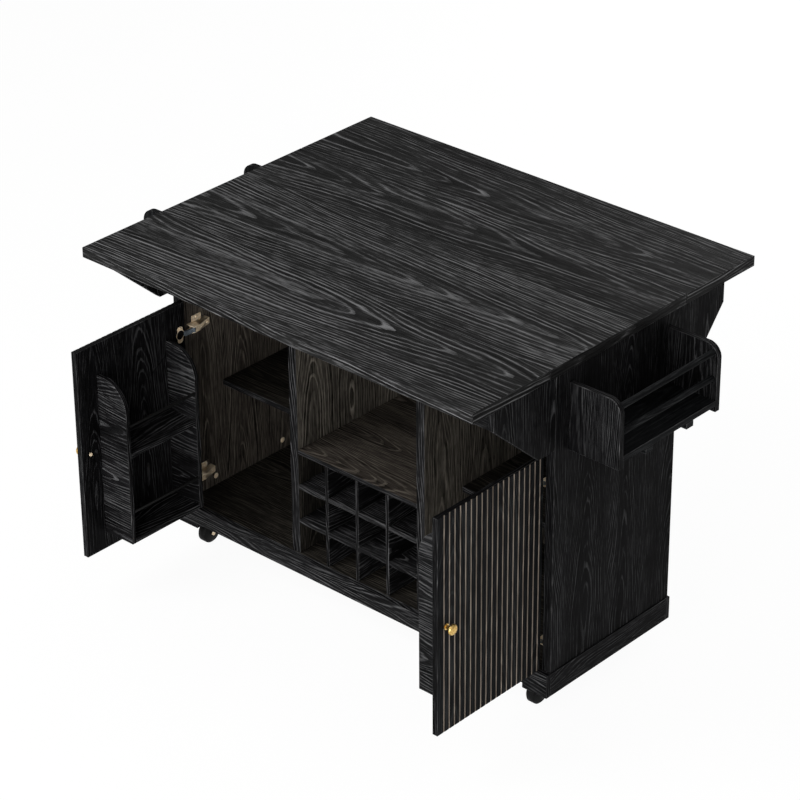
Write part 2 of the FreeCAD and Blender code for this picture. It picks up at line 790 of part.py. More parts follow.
def hinge_links(side, word):
    """Links that turn about the arms' pins and follow the door; each ends in a toe at the cup's rim."""
    name = f"door_{word}_links"
    links = []
    pin_x = link_pin_x(side)
    pin_y = link_pin_y()
    half = S.link_thickness / 2
    toe_x = pivot_x - door_inner_face - S.cup_flange_thickness - S.link_toe_clearance
    for index, height in enumerate(hinge_heights()):
        low = height - S.link_height / 2
        blade = box(f"{name}_blade_{index}", (pin_x - half, pin_y - S.link_length, low),
                    (pin_x + half, pin_y, low + S.link_height))
        tip_y = pin_y - S.link_length
        start, end = span(side, side_inner - S.link_pivot_inset, toe_x)
        toe = box(f"{name}_toe_{index}", (start, tip_y, low),
                  (end, tip_y + S.link_toe_length, low + S.link_height))
        eye = rod(f"{name}_eye_{index}", S.link_eye_radius, S.link_height, (pin_x, pin_y, low))
        bore = rod(f"{name}_bore_{index}", S.link_pin_radius + S.pin_clearance, S.link_height,
                   (pin_x, pin_y, low))
        links.append(less(f"{name}_{index}", joined(f"{name}_blank_{index}", [blade, toe, eye]), bore))
    keep(group(name, links), name)


def hinge_arm(side, word, index, height):
    """A plate and arm on the cabinet's side, with two cheeks and a pin that hold the link."""
    name = f"hinge_arm_{word}_{index}"
    pin_x = link_pin_x(side)
    pin_y = link_pin_y()
    plate_y = pin_y + S.arm_plate_setback
    half_plate = S.arm_plate_height / 2
    half_arm = S.arm_height / 2
    start, end = span(side, side_inner - S.arm_plate_thickness, side_inner)
    plate = box(f"{name}_plate", (start, plate_y, height - half_plate),
                (end, plate_y + S.arm_plate_length, height + half_plate))
    arm_start = pin_y + S.link_eye_radius + S.arm_clearance
    arm_face = side_inner - S.link_pivot_inset - S.link_eye_radius
    start, end = span(side, arm_face + S.arm_clearance, side_inner)
    arm = box(f"{name}_arm", (start, arm_start, height - half_arm),
              (end, arm_start + S.arm_length, height + half_arm))
    cheek_low = height + S.link_height / 2 + S.arm_cheek_play
    cheek_start, cheek_end = span(side, arm_face, side_inner)
    cheeks = []
    for step, low in enumerate((cheek_low, height - (cheek_low - height) - S.arm_cheek_thickness)):
        cheeks.append(box(f"{name}_cheek_{step}", (cheek_start, pin_y - S.link_eye_radius, low),
                          (cheek_end, arm_start + S.arm_width, low + S.arm_cheek_thickness)))
    pin_half = cheek_low - height + S.arm_cheek_thickness
    pin = rod(f"{name}_pin", S.link_pin_radius, 2 * pin_half, (pin_x, pin_y, height - pin_half))
    return joined(name, [plate, arm, pin] + cheeks)


def doors():
    arms = []
    for side, word in ((LEFT, "left"), (RIGHT, "right")):
        door_panel(side, word)
        knob(side, word)
        door_rack(side, word)
        hinge_cups(side, word)
        hinge_links(side, word)
        for index, height in enumerate(hinge_heights()):
            arms.append(hinge_arm(side, word, index, height))
    keep(group("door_hinge_arms", arms), "door_hinge_arms")


# Side racks

def rack_ends(label, side):
    """Two upright end boards on the cabinet's side, each with a rounded top corner."""
    low_y = side_rack_low_y()
    high_y = low_y + S.side_rack_width - S.side_rack_end_thickness
    inner, outer = side_outer, side_outer + S.side_rack_reach
    start, end = span(side, inner, outer)
    boards = []
    for index, place in enumerate((low_y, high_y)):
        corners = [(start, side_rack_bottom), (end, side_rack_bottom), (end, side_rack_top),
                   (start, side_rack_top)]
        board = prism(f"{label}_{index}", "XZ_Plane", corners, S.side_rack_end_thickness,
                      (ZERO, place + S.side_rack_end_thickness, ZERO))
        rounded(board, S.side_rack_corner_radius,
                [(side * outer, -S.side_rack_end_thickness / 2, side_rack_top)])
        boards.append(board)
    keep(group(label, boards), label)


def side_rack_low_y():
    return mid_y - S.side_rack_width / 2 + S.side_rack_shift


def rack_inside_y():
    low = side_rack_low_y() + S.side_rack_end_thickness
    return low, low + S.side_rack_width - 2 * S.side_rack_end_thickness


def spice_rack():
    """A board on two cleats between the end boards, with two rails in front."""
    rack_ends("spice_rack_ends", RIGHT)
    low_y, high_y = rack_inside_y()
    outer = side_outer + S.side_rack_reach
    board_low = side_rack_bottom + S.cleat_thickness
    board = box("spice_board_plate", (side_outer, low_y, board_low),
                (outer, high_y, board_low + S.spice_board_thickness))
    cleats = []
    middle = (low_y + high_y) / 2
    for index, sign in enumerate((FRONT, BACK)):
        centre = middle + sign * S.cleat_spacing / 2
        cleats.append(box(f"spice_cleat_{index}",
                          (side_outer, centre - S.cleat_width / 2, side_rack_bottom),
                          (outer, centre + S.cleat_width / 2, board_low)))
    keep(group("spice_board", [board] + cleats), "spice_board")
    rails = []
    for index in range(count(S.spice_rail_count)):
        height = side_rack_top - S.spice_rail_drop - S.spice_rail_spacing * index
        rails.append(rod(f"spice_rail_{index}", S.spice_rail_radius, high_y - low_y,
                         (outer - S.spice_rail_edge_distance, low_y, height), (0, 1, 0)))
    keep(group("spice_rails", rails), "spice_rails")


def towel_rack():
    rack_ends("towel_rack_ends", LEFT)
    low_y, high_y = rack_inside_y()
    bar_x = -side_outer - S.side_rack_reach + S.towel_bar_edge_distance
    bar = rod("towel_bar_rod", S.towel_bar_radius, high_y - low_y,
              (bar_x, low_y, side_rack_top - S.towel_bar_drop), (0, 1, 0))
    keep(bar, "towel_bar")


# Casters

def caster_plate(name, x, y):
    """A plate with a race, and the pin that the fork turns on."""
    half = S.caster_plate_side / 2
    plate_low = S.ground_clearance - S.caster_plate_thickness
    race_low = plate_low - S.caster_race_depth
    plate = box(f"{name}_plate", (x - half, y - half, plate_low), (x + half, y + half, S.ground_clearance))
    race = rod(f"{name}_race", S.caster_race_radius, S.caster_race_depth, (x, y, race_low))
    pin_length = S.fork_crown_depth + 2 * S.caster_play
    pin = rod(f"{name}_pin", S.kingpin_radius, pin_length, (x, y, race_low - pin_length))
    head = rod(f"{name}_head", S.kingpin_head_radius, S.kingpin_head_depth,
               (x, y, race_low - pin_length - S.kingpin_head_depth))
    return joined(name, [plate, race, pin, head])


def caster_fork(label, x, y):
    """A crown with two cheeks that reach to the wheel's axle, and the axle."""
    crown_top = S.ground_clearance - S.caster_plate_thickness - S.caster_race_depth - S.caster_play
    crown_low = crown_top - S.fork_crown_depth
    cheek_start = S.wheel_width / 2 + S.fork_cheek_play
    axle_y = -S.caster_trail
    pieces = [rod(f"{label}_crown", S.fork_crown_radius, S.fork_crown_depth, (x, y, crown_low))]
    corners = [(-S.fork_cheek_half, crown_top), (axle_y - S.fork_eye_radius, S.wheel_radius),
               (axle_y, S.wheel_radius - S.fork_eye_radius), (axle_y + S.fork_eye_radius, S.wheel_radius),
               (S.fork_cheek_half, crown_top)]
    for side, word in ((LEFT, "left"), (RIGHT, "right")):
        start = span(side, cheek_start, cheek_start + S.fork_cheek_thickness)[0]
        pieces.append(prism(f"{label}_cheek_{word}", "YZ_Plane", corners, S.fork_cheek_thickness,
                            (x + start, y, ZERO)))
        bridge_start, bridge_end = span(side, ZERO, cheek_start + S.fork_cheek_thickness)
        pieces.append(box(f"{label}_bridge_{word}", (x + bridge_start, y - S.fork_cheek_half, crown_low),
                          (x + bridge_end, y + S.fork_cheek_half, crown_top)))
    axle_half = cheek_start + S.fork_cheek_thickness
    pieces.append(rod(f"{label}_axle", S.axle_radius, 2 * axle_half,
                      (x - axle_half, y + axle_y, S.wheel_radius), (1, 0, 0)))
    for side, word in ((LEFT, "left"), (RIGHT, "right")):
        pieces.append(rod(f"{label}_cap_{word}", S.axle_cap_radius, S.axle_cap_depth,
                          (x + side * axle_half, y + axle_y, S.wheel_radius), (side, 0, 0)))
    bore = rod(f"{label}_bore", S.kingpin_radius + S.pin_clearance, S.fork_crown_depth, (x, y, crown_low))
    keep(less(f"{label}_bored", joined(f"{label}_blank", pieces), bore), label)


def caster_wheel(label, x, y):
    """A wheel with softened tread edges and a bore for the axle."""
    half = S.wheel_width / 2
    bore = S.axle_radius + S.pin_clearance
    tread = S.wheel_radius
    soft = S.wheel_round
    corners = [(-half, bore), (half, bore), (half, tread - soft), (half - soft, tread), (soft - half, tread),
               (-half, tread - soft)]
    body = doc.addObject("PartDesign::Body", label)
    turn = body.newObject("PartDesign::Revolution", f"{label}_turn")
    profile = outline(body, f"{label}_profile", "XZ_Plane", corners)
    turn.Profile = profile
    turn.ReferenceAxis = (profile, ["H_Axis"])
    turn.Angle = 360
    set_place(body, (x, y - S.caster_trail, S.wheel_radius))
    keep(body, label)


def casters():
    plates = []
    places = (("front", plinth_front_inner() + S.caster_inset),
              ("back", plinth_back_inner() - S.caster_inset))
    for end_word, y in places:
        for side, side_word in ((LEFT, "left"), (RIGHT, "right")):
            word = f"{end_word}_{side_word}"
            x = side * (plinth_inner_x() - S.caster_inset)
            plates.append(caster_plate(f"caster_plate_{word}", x, y))
            caster_fork(f"caster_fork_{word}", x, y)
            caster_wheel(f"caster_wheel_{word}", x, y)
    keep(group("caster_plates", plates), "caster_plates")


cabinet()
plinth()
side_shelves()
wine_rack()
stemware_rails()
top()
wings()
leaf_hinges()
doors()
spice_rack()
towel_rack()
casters()
doc.recompute()

for piece in doc.Objects:
    if "Invalid" in piece.State or "Error" in piece.State:
        raise RuntimeError(f"{piece.Name} failed: {piece.State}")
for piece in nodes:
    if piece.Shape.isNull() or not piece.Shape.isValid() or not piece.Shape.Solids:
        raise RuntimeError(f"{piece.Label} has no valid solid")

os.makedirs("parts", exist_ok=True)
for piece in nodes:
    piece.Shape.exportStep(f"parts/{piece.Label}.step")
    print(piece.Label, len(piece.Shape.Solids), round(piece.Shape.Volume))
print(len(nodes), "nodes; origin shift", mid_y.value())
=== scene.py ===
import json
import math
import random

import bmesh
import bpy
from mathutils import Matrix, Vector


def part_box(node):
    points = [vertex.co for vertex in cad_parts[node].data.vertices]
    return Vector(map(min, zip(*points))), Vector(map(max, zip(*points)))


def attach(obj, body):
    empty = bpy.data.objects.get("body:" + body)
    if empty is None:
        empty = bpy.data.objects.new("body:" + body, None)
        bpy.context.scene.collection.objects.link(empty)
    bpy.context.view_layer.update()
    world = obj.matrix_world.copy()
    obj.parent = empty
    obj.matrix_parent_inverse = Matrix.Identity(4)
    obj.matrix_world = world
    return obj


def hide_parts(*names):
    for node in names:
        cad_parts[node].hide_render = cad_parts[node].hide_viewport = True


# Kitchen cart in black oak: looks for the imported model. Metres, Z up, front at -Y.
# The wooden nodes are copied, get chamfered arrises and a place in the veneer, and the metal
# and nylon nodes are smoothed. Screws, cam discs and shelf pins are grown by Geometry Nodes.

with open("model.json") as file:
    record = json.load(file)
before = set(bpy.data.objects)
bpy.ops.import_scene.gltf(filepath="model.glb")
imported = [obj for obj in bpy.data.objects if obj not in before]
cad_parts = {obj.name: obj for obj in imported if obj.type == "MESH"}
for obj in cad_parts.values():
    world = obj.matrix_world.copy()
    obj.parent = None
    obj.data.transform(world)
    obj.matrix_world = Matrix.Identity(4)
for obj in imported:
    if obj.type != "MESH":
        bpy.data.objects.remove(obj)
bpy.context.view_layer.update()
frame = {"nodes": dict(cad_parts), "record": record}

MM = 0.001
RECORD = frame["record"]
BODY_OF = {node: body for body, nodes in RECORD["behaviour"]["bodies"].items() for node in nodes}
AXES = "XYZ"
SIDES = (("left", -1), ("right", 1))     # each side's word and the way that it lies along X
CART_MIDDLE_Y = 39.8 * MM      # the plane between the front and back halves of the top
SIDE_INNER_X = 573 * MM        # the side panels' inner faces


# Small tools

def sign(value):
    """1 or -1, by a value's side of zero."""
    return 1 if value > 0 else -1


def linear(colour):
    """An sRGB hex colour as the linear RGBA that a socket takes."""
    parts = [int(colour[at:at + 2], 16) / 255 for at in (1, 3, 5)]
    return [part / 12.92 if part <= 0.04045 else ((part + 0.055) / 1.055) ** 2.4 for part in parts] + [1]


def add(tree, kind, inputs=None, stops=None, **settings):
    """Adds a node with its settings, values, links and ramp stops, and gives its first output."""
    made = tree.nodes.new(kind)
    for name, value in settings.items():
        setattr(made, name, value)
    for key, value in (inputs or {}).items():
        if isinstance(value, bpy.types.NodeSocket):
            tree.links.new(value, made.inputs[key])
        else:
            is_colour = isinstance(value, str) and value.startswith("#")
            made.inputs[key].default_value = linear(value) if is_colour else value
    if stops:
        ramp = made.color_ramp
        while len(ramp.elements) < len(stops):
            ramp.elements.new(1)
        for element, (place, colour) in zip(ramp.elements, stops):
            element.position = place
            element.color = linear(colour)
    return made.outputs[0] if made.outputs else made


def new_material(name):
    """An empty material, its tree and its output node."""
    material = bpy.data.materials.new(name)
    material.use_nodes = True
    material.node_tree.nodes.clear()
    add(material.node_tree, "ShaderNodeOutputMaterial")
    return material, material.node_tree, material.node_tree.nodes["Material Output"]


# Black oak. Real open-pored oak veneer, stained black and sealed matte: the eye gets dark grey
# wood with close dark and pale growth lines, long nested arches, and a dry sheen.

LEAF_WIDTH = 150 * MM          # a veneer leaf, sliced from one log and laid side by side
WIDE_LEAF = 330 * MM           # the wider leaves that the worktop gets
RING_SPACING = 15 * MM         # rings are 2 to 6 mm apart; drawn coarser, or they would not show
CLOSE_SPACING = 11 * MM        # the same on the quieter veneers
WIDE_SPACING = 26 * MM         # and on the worktop
YOUNG_RADIUS = 40 * MM         # where the rings have that spacing; further out they are closer
RING_CLOSING = 1.5             # how fast they close up
ARCH_SQUEEZE = 1.5             # the slicing squeezes the rings across the leaf
LOG_TAPER = 0.14               # how fast the rings climb along the log, which spaces the arches
LOG_START = 90 * MM            # how far two leaves' rings may start apart
CUT_DEPTH = 18 * MM            # the cut's distance from the log's middle, which rounds the arches' tips
SLOW_BEND = 60 * MM            # how far the grain bends, over the two lengths that follow
SLOW_LENGTH, SLOW_WIDTH = 384.615 * MM, 111.111 * MM
QUICK_BEND = 5 * MM            # how ragged the arches' tips are, over the two lengths that follow
QUICK_LENGTH, QUICK_WIDTH = 62.5 * MM, 16.6667 * MM
PATCH_LENGTH, PATCH_WIDTH = 250 * MM, 33.3333 * MM     # patches where the lines fade
BAND_LENGTH, BAND_WIDTH = 769.231 * MM, 55.5556 * MM   # broad lighter and darker bands
FIBRE_WIDTH = 2.4 * MM         # fibres are 0.2 mm wide; drawn coarser, or they would not show
FIBRE_LENGTH = 40 * MM
PORE_WIDTH = 2 * MM            # pores are 0.3 mm wide; drawn coarser, or they would not show
PORE_LENGTH = 18 * MM
PORE_DEPTH = 0.3 * MM
EDGE_PLACE = 0.84              # a board's thin edges show the close lines at a leaf's side


def grain_group():
    """The oak's figure: reads each point's place in the veneer, gives the wood's shade and its pores."""
    tree = bpy.data.node_groups.new("Oak figure", "ShaderNodeTree")
    for name in ("Leaf Width", "Ring Spacing", "Line Contrast"):
        tree.interface.new_socket(name, in_out="INPUT", socket_type="NodeSocketFloat")
    for name in ("Wood", "Pores"):
        tree.interface.new_socket(name, in_out="OUTPUT", socket_type="NodeSocketFloat")
    given = add(tree, "NodeGroupInput").node.outputs
    place = add(tree, "ShaderNodeAttribute", attribute_name="grain_place").node.outputs["Vector"]
    split = add(tree, "ShaderNodeSeparateXYZ", {0: place}).node.outputs
    u, v = split[0], split[1]

    # which leaf, and where across it
    across = add(tree, "ShaderNodeMath", {0: v, 1: given["Leaf Width"]}, operation="DIVIDE")
    leaf = add(tree, "ShaderNodeMath", {0: across}, operation="FLOOR")
    share = add(tree, "ShaderNodeMath", {0: across}, operation="FRACT")
    luck = add(tree, "ShaderNodeTexWhiteNoise", {"W": leaf}, noise_dimensions="1D").node.outputs["Color"]
    lucks = add(tree, "ShaderNodeSeparateColor", {0: luck}).node.outputs
    middle = add(tree, "ShaderNodeMapRange", {0: lucks[0], 3: 0.34, 4: 0.6})
    off_middle = add(tree, "ShaderNodeMath", {0: share, 1: middle}, operation="SUBTRACT")
    squeezed = add(tree, "ShaderNodeMath", {0: off_middle, 1: ARCH_SQUEEZE}, operation="MULTIPLY")
    v_leaf = add(tree, "ShaderNodeMath", {0: squeezed, 1: given["Leaf Width"]}, operation="MULTIPLY")

    # slow bends of the grain, and the ragged tips of the arches
    slow_at = add(tree, "ShaderNodeVectorMath", {0: place, 1: (1 / SLOW_LENGTH, 1 / SLOW_WIDTH, 1)},
                  operation="MULTIPLY")
    slow = add(tree, "ShaderNodeTexNoise", {"Vector": slow_at, "Scale": 1, "Detail": 1})
    quick_at = add(tree, "ShaderNodeVectorMath", {0: place, 1: (1 / QUICK_LENGTH, 1 / QUICK_WIDTH, 1)},
                   operation="MULTIPLY")
    quick = add(tree, "ShaderNodeTexNoise", {"Vector": quick_at, "Scale": 1, "Detail": 3})
    slow_bend = add(tree, "ShaderNodeMapRange", {0: slow, 3: -SLOW_BEND, 4: SLOW_BEND})
    quick_bend = add(tree, "ShaderNodeMapRange", {0: quick, 3: -QUICK_BEND, 4: QUICK_BEND})
    bend = add(tree, "ShaderNodeMath", {0: slow_bend, 1: quick_bend}, operation="ADD")

    # distance from the log's middle, then the rings met there, which climb along the tapering log
    squares = add(tree, "ShaderNodeMath", {0: v_leaf, 1: v_leaf, 2: CUT_DEPTH ** 2}, operation="MULTIPLY_ADD")
    radius = add(tree, "ShaderNodeMath", {0: squares}, operation="SQRT")
    climbed = add(tree, "ShaderNodeMath", {0: u, 1: LOG_TAPER, 2: bend}, operation="MULTIPLY_ADD")
    begun = add(tree, "ShaderNodeMath", {0: lucks[1], 1: LOG_START, 2: climbed}, operation="MULTIPLY_ADD")
    age = add(tree, "ShaderNodeMath", {0: radius, 1: YOUNG_RADIUS}, operation="DIVIDE")
    closer = add(tree, "ShaderNodeMath", {0: age, 1: RING_CLOSING}, operation="POWER")
    grown = add(tree, "ShaderNodeMath", {0: closer, 1: YOUNG_RADIUS / RING_CLOSING, 2: begun},
                operation="MULTIPLY_ADD")
    rings = add(tree, "ShaderNodeMath", {0: grown, 1: given["Ring Spacing"]}, operation="DIVIDE")
    years = add(tree, "ShaderNodeTexNoise", {"W": rings, "Scale": 0.5, "Detail": 0}, noise_dimensions="1D")
    uneven = add(tree, "ShaderNodeMath", {0: years, 1: 0.9, 2: rings}, operation="MULTIPLY_ADD")
    year = add(tree, "ShaderNodeMath", {0: uneven}, operation="FLOOR")
    season = add(tree, "ShaderNodeMath", {0: uneven}, operation="FRACT")

    # close dark and pale lines at a leaf's sides, single pale lines between smooth wood in its middle
    close = add(tree, "ShaderNodeValToRGB", {0: season}, stops=[
        (0, "#404040"), (0.12, "#000000"), (0.3, "#303030"),
        (0.5, "#909090"), (0.7, "#ffffff"), (0.86, "#a0a0a0")])
    single = add(tree, "ShaderNodeValToRGB", {0: season}, stops=[
        (0, "#000000"), (0.1, "#606060"), (0.3, "#707070"),
        (0.68, "#707070"), (0.8, "#ffffff"), (0.95, "#d0d0d0")])
    sideways = add(tree, "ShaderNodeMath", {
        0: add(tree, "ShaderNodeMath", {0: v_leaf}, operation="ABSOLUTE"), 1: radius}, operation="DIVIDE")
    side_share = add(tree, "ShaderNodeMapRange", {0: sideways, 1: 0.55, 2: 0.97})
    line = add(tree, "ShaderNodeMix", {0: side_share, 2: add(tree, "ShaderNodeRGBToBW", {0: single}),
                                       3: add(tree, "ShaderNodeRGBToBW", {0: close})}, data_type="FLOAT")
    strength = add(tree, "ShaderNodeTexWhiteNoise", {"W": year}, noise_dimensions="1D")
    patch_at = add(tree, "ShaderNodeVectorMath", {0: place, 1: (1 / PATCH_LENGTH, 1 / PATCH_WIDTH, 1)},
                   operation="MULTIPLY")
    patchy = add(tree, "ShaderNodeTexNoise", {"Vector": patch_at, "Scale": 1, "Detail": 1})
    loud = add(tree, "ShaderNodeMapRange", {0: strength, 3: 0.3, 4: 1.1})
    clear = add(tree, "ShaderNodeMapRange", {0: patchy, 1: 0.35, 2: 0.62, 3: 0.35, 4: 1})
    contrast = add(tree, "ShaderNodeMath", {0: loud, 1: clear}, operation="MULTIPLY")
    contrast = add(tree, "ShaderNodeMath", {0: contrast, 1: given["Line Contrast"]}, operation="MULTIPLY")
    swing = add(tree, "ShaderNodeMath", {0: line, 1: 0.4}, operation="SUBTRACT")
    ring_shade = add(tree, "ShaderNodeMath", {0: swing, 1: contrast}, operation="MULTIPLY")

    # fibres and pores, long along the grain, and broad lighter and darker bands
    fibre_at = add(tree, "ShaderNodeVectorMath", {0: place, 1: (1 / FIBRE_LENGTH, 1 / FIBRE_WIDTH, 1)},
                   operation="MULTIPLY")
    fibres = add(tree, "ShaderNodeTexNoise", {"Vector": fibre_at, "Scale": 0.6, "Detail": 2, "Roughness": 0.6})
    pore_at = add(tree, "ShaderNodeVectorMath", {0: place, 1: (1 / PORE_LENGTH, 1 / PORE_WIDTH, 1)},
                  operation="MULTIPLY")
    pore_noise = add(tree, "ShaderNodeTexNoise", {"Vector": pore_at, "Scale": 0.8, "Detail": 1})
    pores = add(tree, "ShaderNodeMapRange", {0: pore_noise, 1: 0.56, 2: 0.68})
    band_at = add(tree, "ShaderNodeVectorMath", {0: place, 1: (1 / BAND_LENGTH, 1 / BAND_WIDTH, 1)},
                  operation="MULTIPLY")
    bands = add(tree, "ShaderNodeTexNoise", {"Vector": band_at, "Scale": 1, "Detail": 2})
    fibre_shade = add(tree, "ShaderNodeMapRange", {0: fibres, 1: 0.35, 2: 0.65, 3: 0.28, 4: 0.62})
    band_shade = add(tree, "ShaderNodeMapRange", {0: bands, 1: 0.3, 2: 0.7, 3: -0.13, 4: 0.13})
    leaf_shade = add(tree, "ShaderNodeMapRange", {0: lucks[2], 3: -0.06, 4: 0.06})
    wood = add(tree, "ShaderNodeMath", {0: ring_shade, 1: fibre_shade}, operation="ADD")
    wood = add(tree, "ShaderNodeMath", {0: wood, 1: band_shade}, operation="ADD")
    wood = add(tree, "ShaderNodeMath", {0: wood, 1: leaf_shade}, operation="ADD")
    wood = add(tree, "ShaderNodeMath", {0: pores, 1: -0.16, 2: wood}, operation="MULTIPLY_ADD")
    add(tree, "NodeGroupOutput", {"Wood": wood, "Pores": pores})
    return tree


OAK_FIGURE = grain_group()


def oak(name, dark, mid, pale, roughness, gloss=0.03, leaf_width=LEAF_WIDTH, spacing=RING_SPACING,
        line_contrast=1.0):
    """Black oak in three shades, from its darkest wood to its palest growth line."""
    material, tree, output = new_material(name)
    figure = add(tree, "ShaderNodeGroup", {
        "Leaf Width": leaf_width, "Ring Spacing": spacing, "Line Contrast": line_contrast},
        node_tree=OAK_FIGURE).node.outputs
    colour = add(tree, "ShaderNodeValToRGB", {0: figure["Wood"]}, stops=[
        (0.05, dark), (0.45, mid), (0.95, pale)])
    rough = add(tree, "ShaderNodeMapRange", {0: figure["Wood"], 3: roughness + 0.06, 4: roughness - 0.06})
    relief = add(tree, "ShaderNodeMath", {0: figure["Pores"], 1: -0.6, 2: figure["Wood"]},
                 operation="MULTIPLY_ADD")
    bump = add(tree, "ShaderNodeBump", {"Height": relief, "Strength": 0.35, "Distance": PORE_DEPTH})
    shader = add(tree, "ShaderNodeBsdfPrincipled", {
        "Base Color": colour, "Roughness": rough, "Normal": bump, "Specular IOR Level": gloss})
    tree.links.new(shader, output.inputs["Surface"])
    return material


# one veneer in the tones of its places: OUTSIDE on most boards, QUIET and RIB where the growth lines are
# faint, and the browner, lighter INSIDE, SHELF and WALL in the cabinet, whose lightness is painted light that
# lifts the cabinet's shade
OUTSIDE = oak("Black stained oak veneer", "#040404", "#151516", "#525253", 0.6)
QUIET = oak("Black oak side veneer", "#030303", "#0e0e0f", "#3c3c3d", 0.6, spacing=CLOSE_SPACING)
RIB = oak("Black oak ribs", "#050506", "#121314", "#2e2f30", 0.6, line_contrast=0.7)
INSIDE = oak("Black oak veneer inside", "#14120f", "#4b4741", "#847d73", 0.64, line_contrast=0.85)
SHELF = oak("Black oak shelf veneer, painted lighter", "#0a0908", "#211f1c", "#4c4841", 0.62, line_contrast=0.8)
WALL = oak("Black oak wall veneer inside", "#110f0e", "#403b36", "#726b61", 0.64, spacing=CLOSE_SPACING,
           line_contrast=0.9)
TOP = oak("Black oak worktop", "#040404", "#1c1c1c", "#6a6a6b", 0.56, 0.05, WIDE_LEAF, WIDE_SPACING)
# edges painted paler, a painted highlight where the arrises catch the light, and the bare oak that the cutter
# left in the flutes
ARRIS = oak("Oak arris with painted highlight", "#181818", "#2c2c2d", "#5c5c5c", 0.55)
FLUTE = oak("Bare oak flute", "#6a6057", "#8e8378", "#a89c90", 0.6)


MOTTLE_SIZE = 3.84615 * MM     # smudges on brass and unevenness in plating and powder coat
LATHE_MARK = 0.714286 * MM     # marks of the turning tool; drawn coarser than real, or they would not show
LATHE_DEPTH = 0.05 * MM
PEEL_DEPTH = 0.1 * MM          # height of the orange peel in a coating
PLATING_PEEL = 1.2 * MM        # the width of its bumps in plating, in powder coat and on moulded nylon
POWDER_PEEL = 1.6 * MM
NYLON_PEEL = 2.2 * MM


def brass():
    """Turned brass, lacquered: pale gold, with faint marks of the lathe and dulled where hands touch."""
    material, tree, output = new_material("Turned brass")
    place = add(tree, "ShaderNodeTexCoord").node.outputs["Object"]
    smudge = add(tree, "ShaderNodeTexNoise", {"Vector": place, "Scale": 1 / MOTTLE_SIZE, "Detail": 3})
    lathe = add(tree, "ShaderNodeTexNoise", {"Vector": place, "Scale": 1 / LATHE_MARK, "Detail": 1})
    colour = add(tree, "ShaderNodeValToRGB", {0: smudge}, stops=[(0.3, "#b8924a"), (0.7, "#e0c07c")])
    rough = add(tree, "ShaderNodeMapRange", {0: smudge, 1: 0.3, 2: 0.7, 3: 0.2, 4: 0.36})
    bump = add(tree, "ShaderNodeBump", {"Height": lathe, "Strength": 0.2, "Distance": LATHE_DEPTH})
    shader = add(tree, "ShaderNodeBsdfPrincipled", {
        "Base Color": colour, "Metallic": 1, "Roughness": rough, "Normal": bump})
    tree.links.new(shader, output.inputs["Surface"])
    return material


def plated(name, dark, pale, low_rough, high_rough, metallic, peel_width, specular=0.5):
    """Pressed or moulded fittings: a fine mottle in colour and gloss, and a slight orange peel."""
    material, tree, output = new_material(name)
    place = add(tree, "ShaderNodeTexCoord").node.outputs["Object"]
    mottle = add(tree, "ShaderNodeTexNoise", {"Vector": place, "Scale": 1 / MOTTLE_SIZE, "Detail": 3})
    peel = add(tree, "ShaderNodeTexNoise", {"Vector": place, "Scale": 1 / peel_width, "Detail": 2})
    colour = add(tree, "ShaderNodeValToRGB", {0: mottle}, stops=[(0.3, dark), (0.7, pale)])
    rough = add(tree, "ShaderNodeMapRange", {0: mottle, 1: 0.3, 2: 0.7, 3: low_rough, 4: high_rough})
    bump = add(tree, "ShaderNodeBump", {"Height": peel, "Strength": 0.3, "Distance": PEEL_DEPTH})
    shader = add(tree, "ShaderNodeBsdfPrincipled", {
        "Base Color": colour, "Metallic": metallic, "Roughness": rough, "Normal": bump,
        "Specular IOR Level": specular})
    tree.links.new(shader, output.inputs["Surface"])
    return material


BRASS = brass()
# nickel-plated pressed steel: a warm, slightly yellowed plating that stays pale in a dark cupboard
NICKEL = plated("Nickel plated steel", "#edcda0", "#fff3dc", 0.3, 0.42, 0.2, PLATING_PEEL)
# zinc-plated steel on the hinge links, darker and greyer than the nickel: painted shade where the links show
# through the gap beside the doors
ZINC = plated("Zinc plated steel with painted shade", "#4a525a", "#7d8891", 0.35, 0.5, 0.4, PLATING_PEEL, 0.3)
# powder-coated steel: matte black with a fine pebble, on the bars, casters and their plates
BLACK_STEEL = plated("Black powder-coated steel", "#0b0b0b", "#151515", 0.5, 0.65, 0, POWDER_PEEL, 0.1)
# moulded nylon: black tyre, rubbed satin, and a grey hub
NYLON = plated("Moulded black nylon", "#050505", "#0c0c0c", 0.5, 0.65, 0, NYLON_PEEL, 0.1)
HUB = plated("Moulded grey nylon", "#54555a", "#77787c", 0.4, 0.55, 0, NYLON_PEEL, 0.25)


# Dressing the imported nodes

MERGE_REACH = 0.002 * MM
FLAT_ANGLE = math.radians(0.4)
ALONG_AXIS = 0.9               # a normal's share along an axis, from which its face looks that way


def merged_copy(node):
    """The node's mesh in bmesh, with doubles merged and flat triangles joined into faces."""
    shape = bmesh.new()
    shape.from_mesh(frame["nodes"][node].data)
    bmesh.ops.remove_doubles(shape, verts=shape.verts, dist=MERGE_REACH)
    bmesh.ops.dissolve_limit(shape, angle_limit=FLAT_ANGLE, verts=shape.verts, edges=shape.edges)
    return shape


def loose_parts(shape):
    """Lists of vertices, one list for each separate solid, in a steady order."""
    seen, parts = set(), []
    for first in shape.verts:
        if first in seen:
            continue
        seen.add(first)
        part, reach = [], [first]
        while reach:
            vert = reach.pop()
            part.append(vert)
            for edge in vert.link_edges:
                other = edge.other_vert(vert)
                if other not in seen:
                    seen.add(other)
                    reach.append(other)
        parts.append(part)

    def middle(part):
        return tuple(round(sum(vert.co[i] for vert in part) / len(part), 4) for i in range(3))
    return sorted(parts, key=middle)


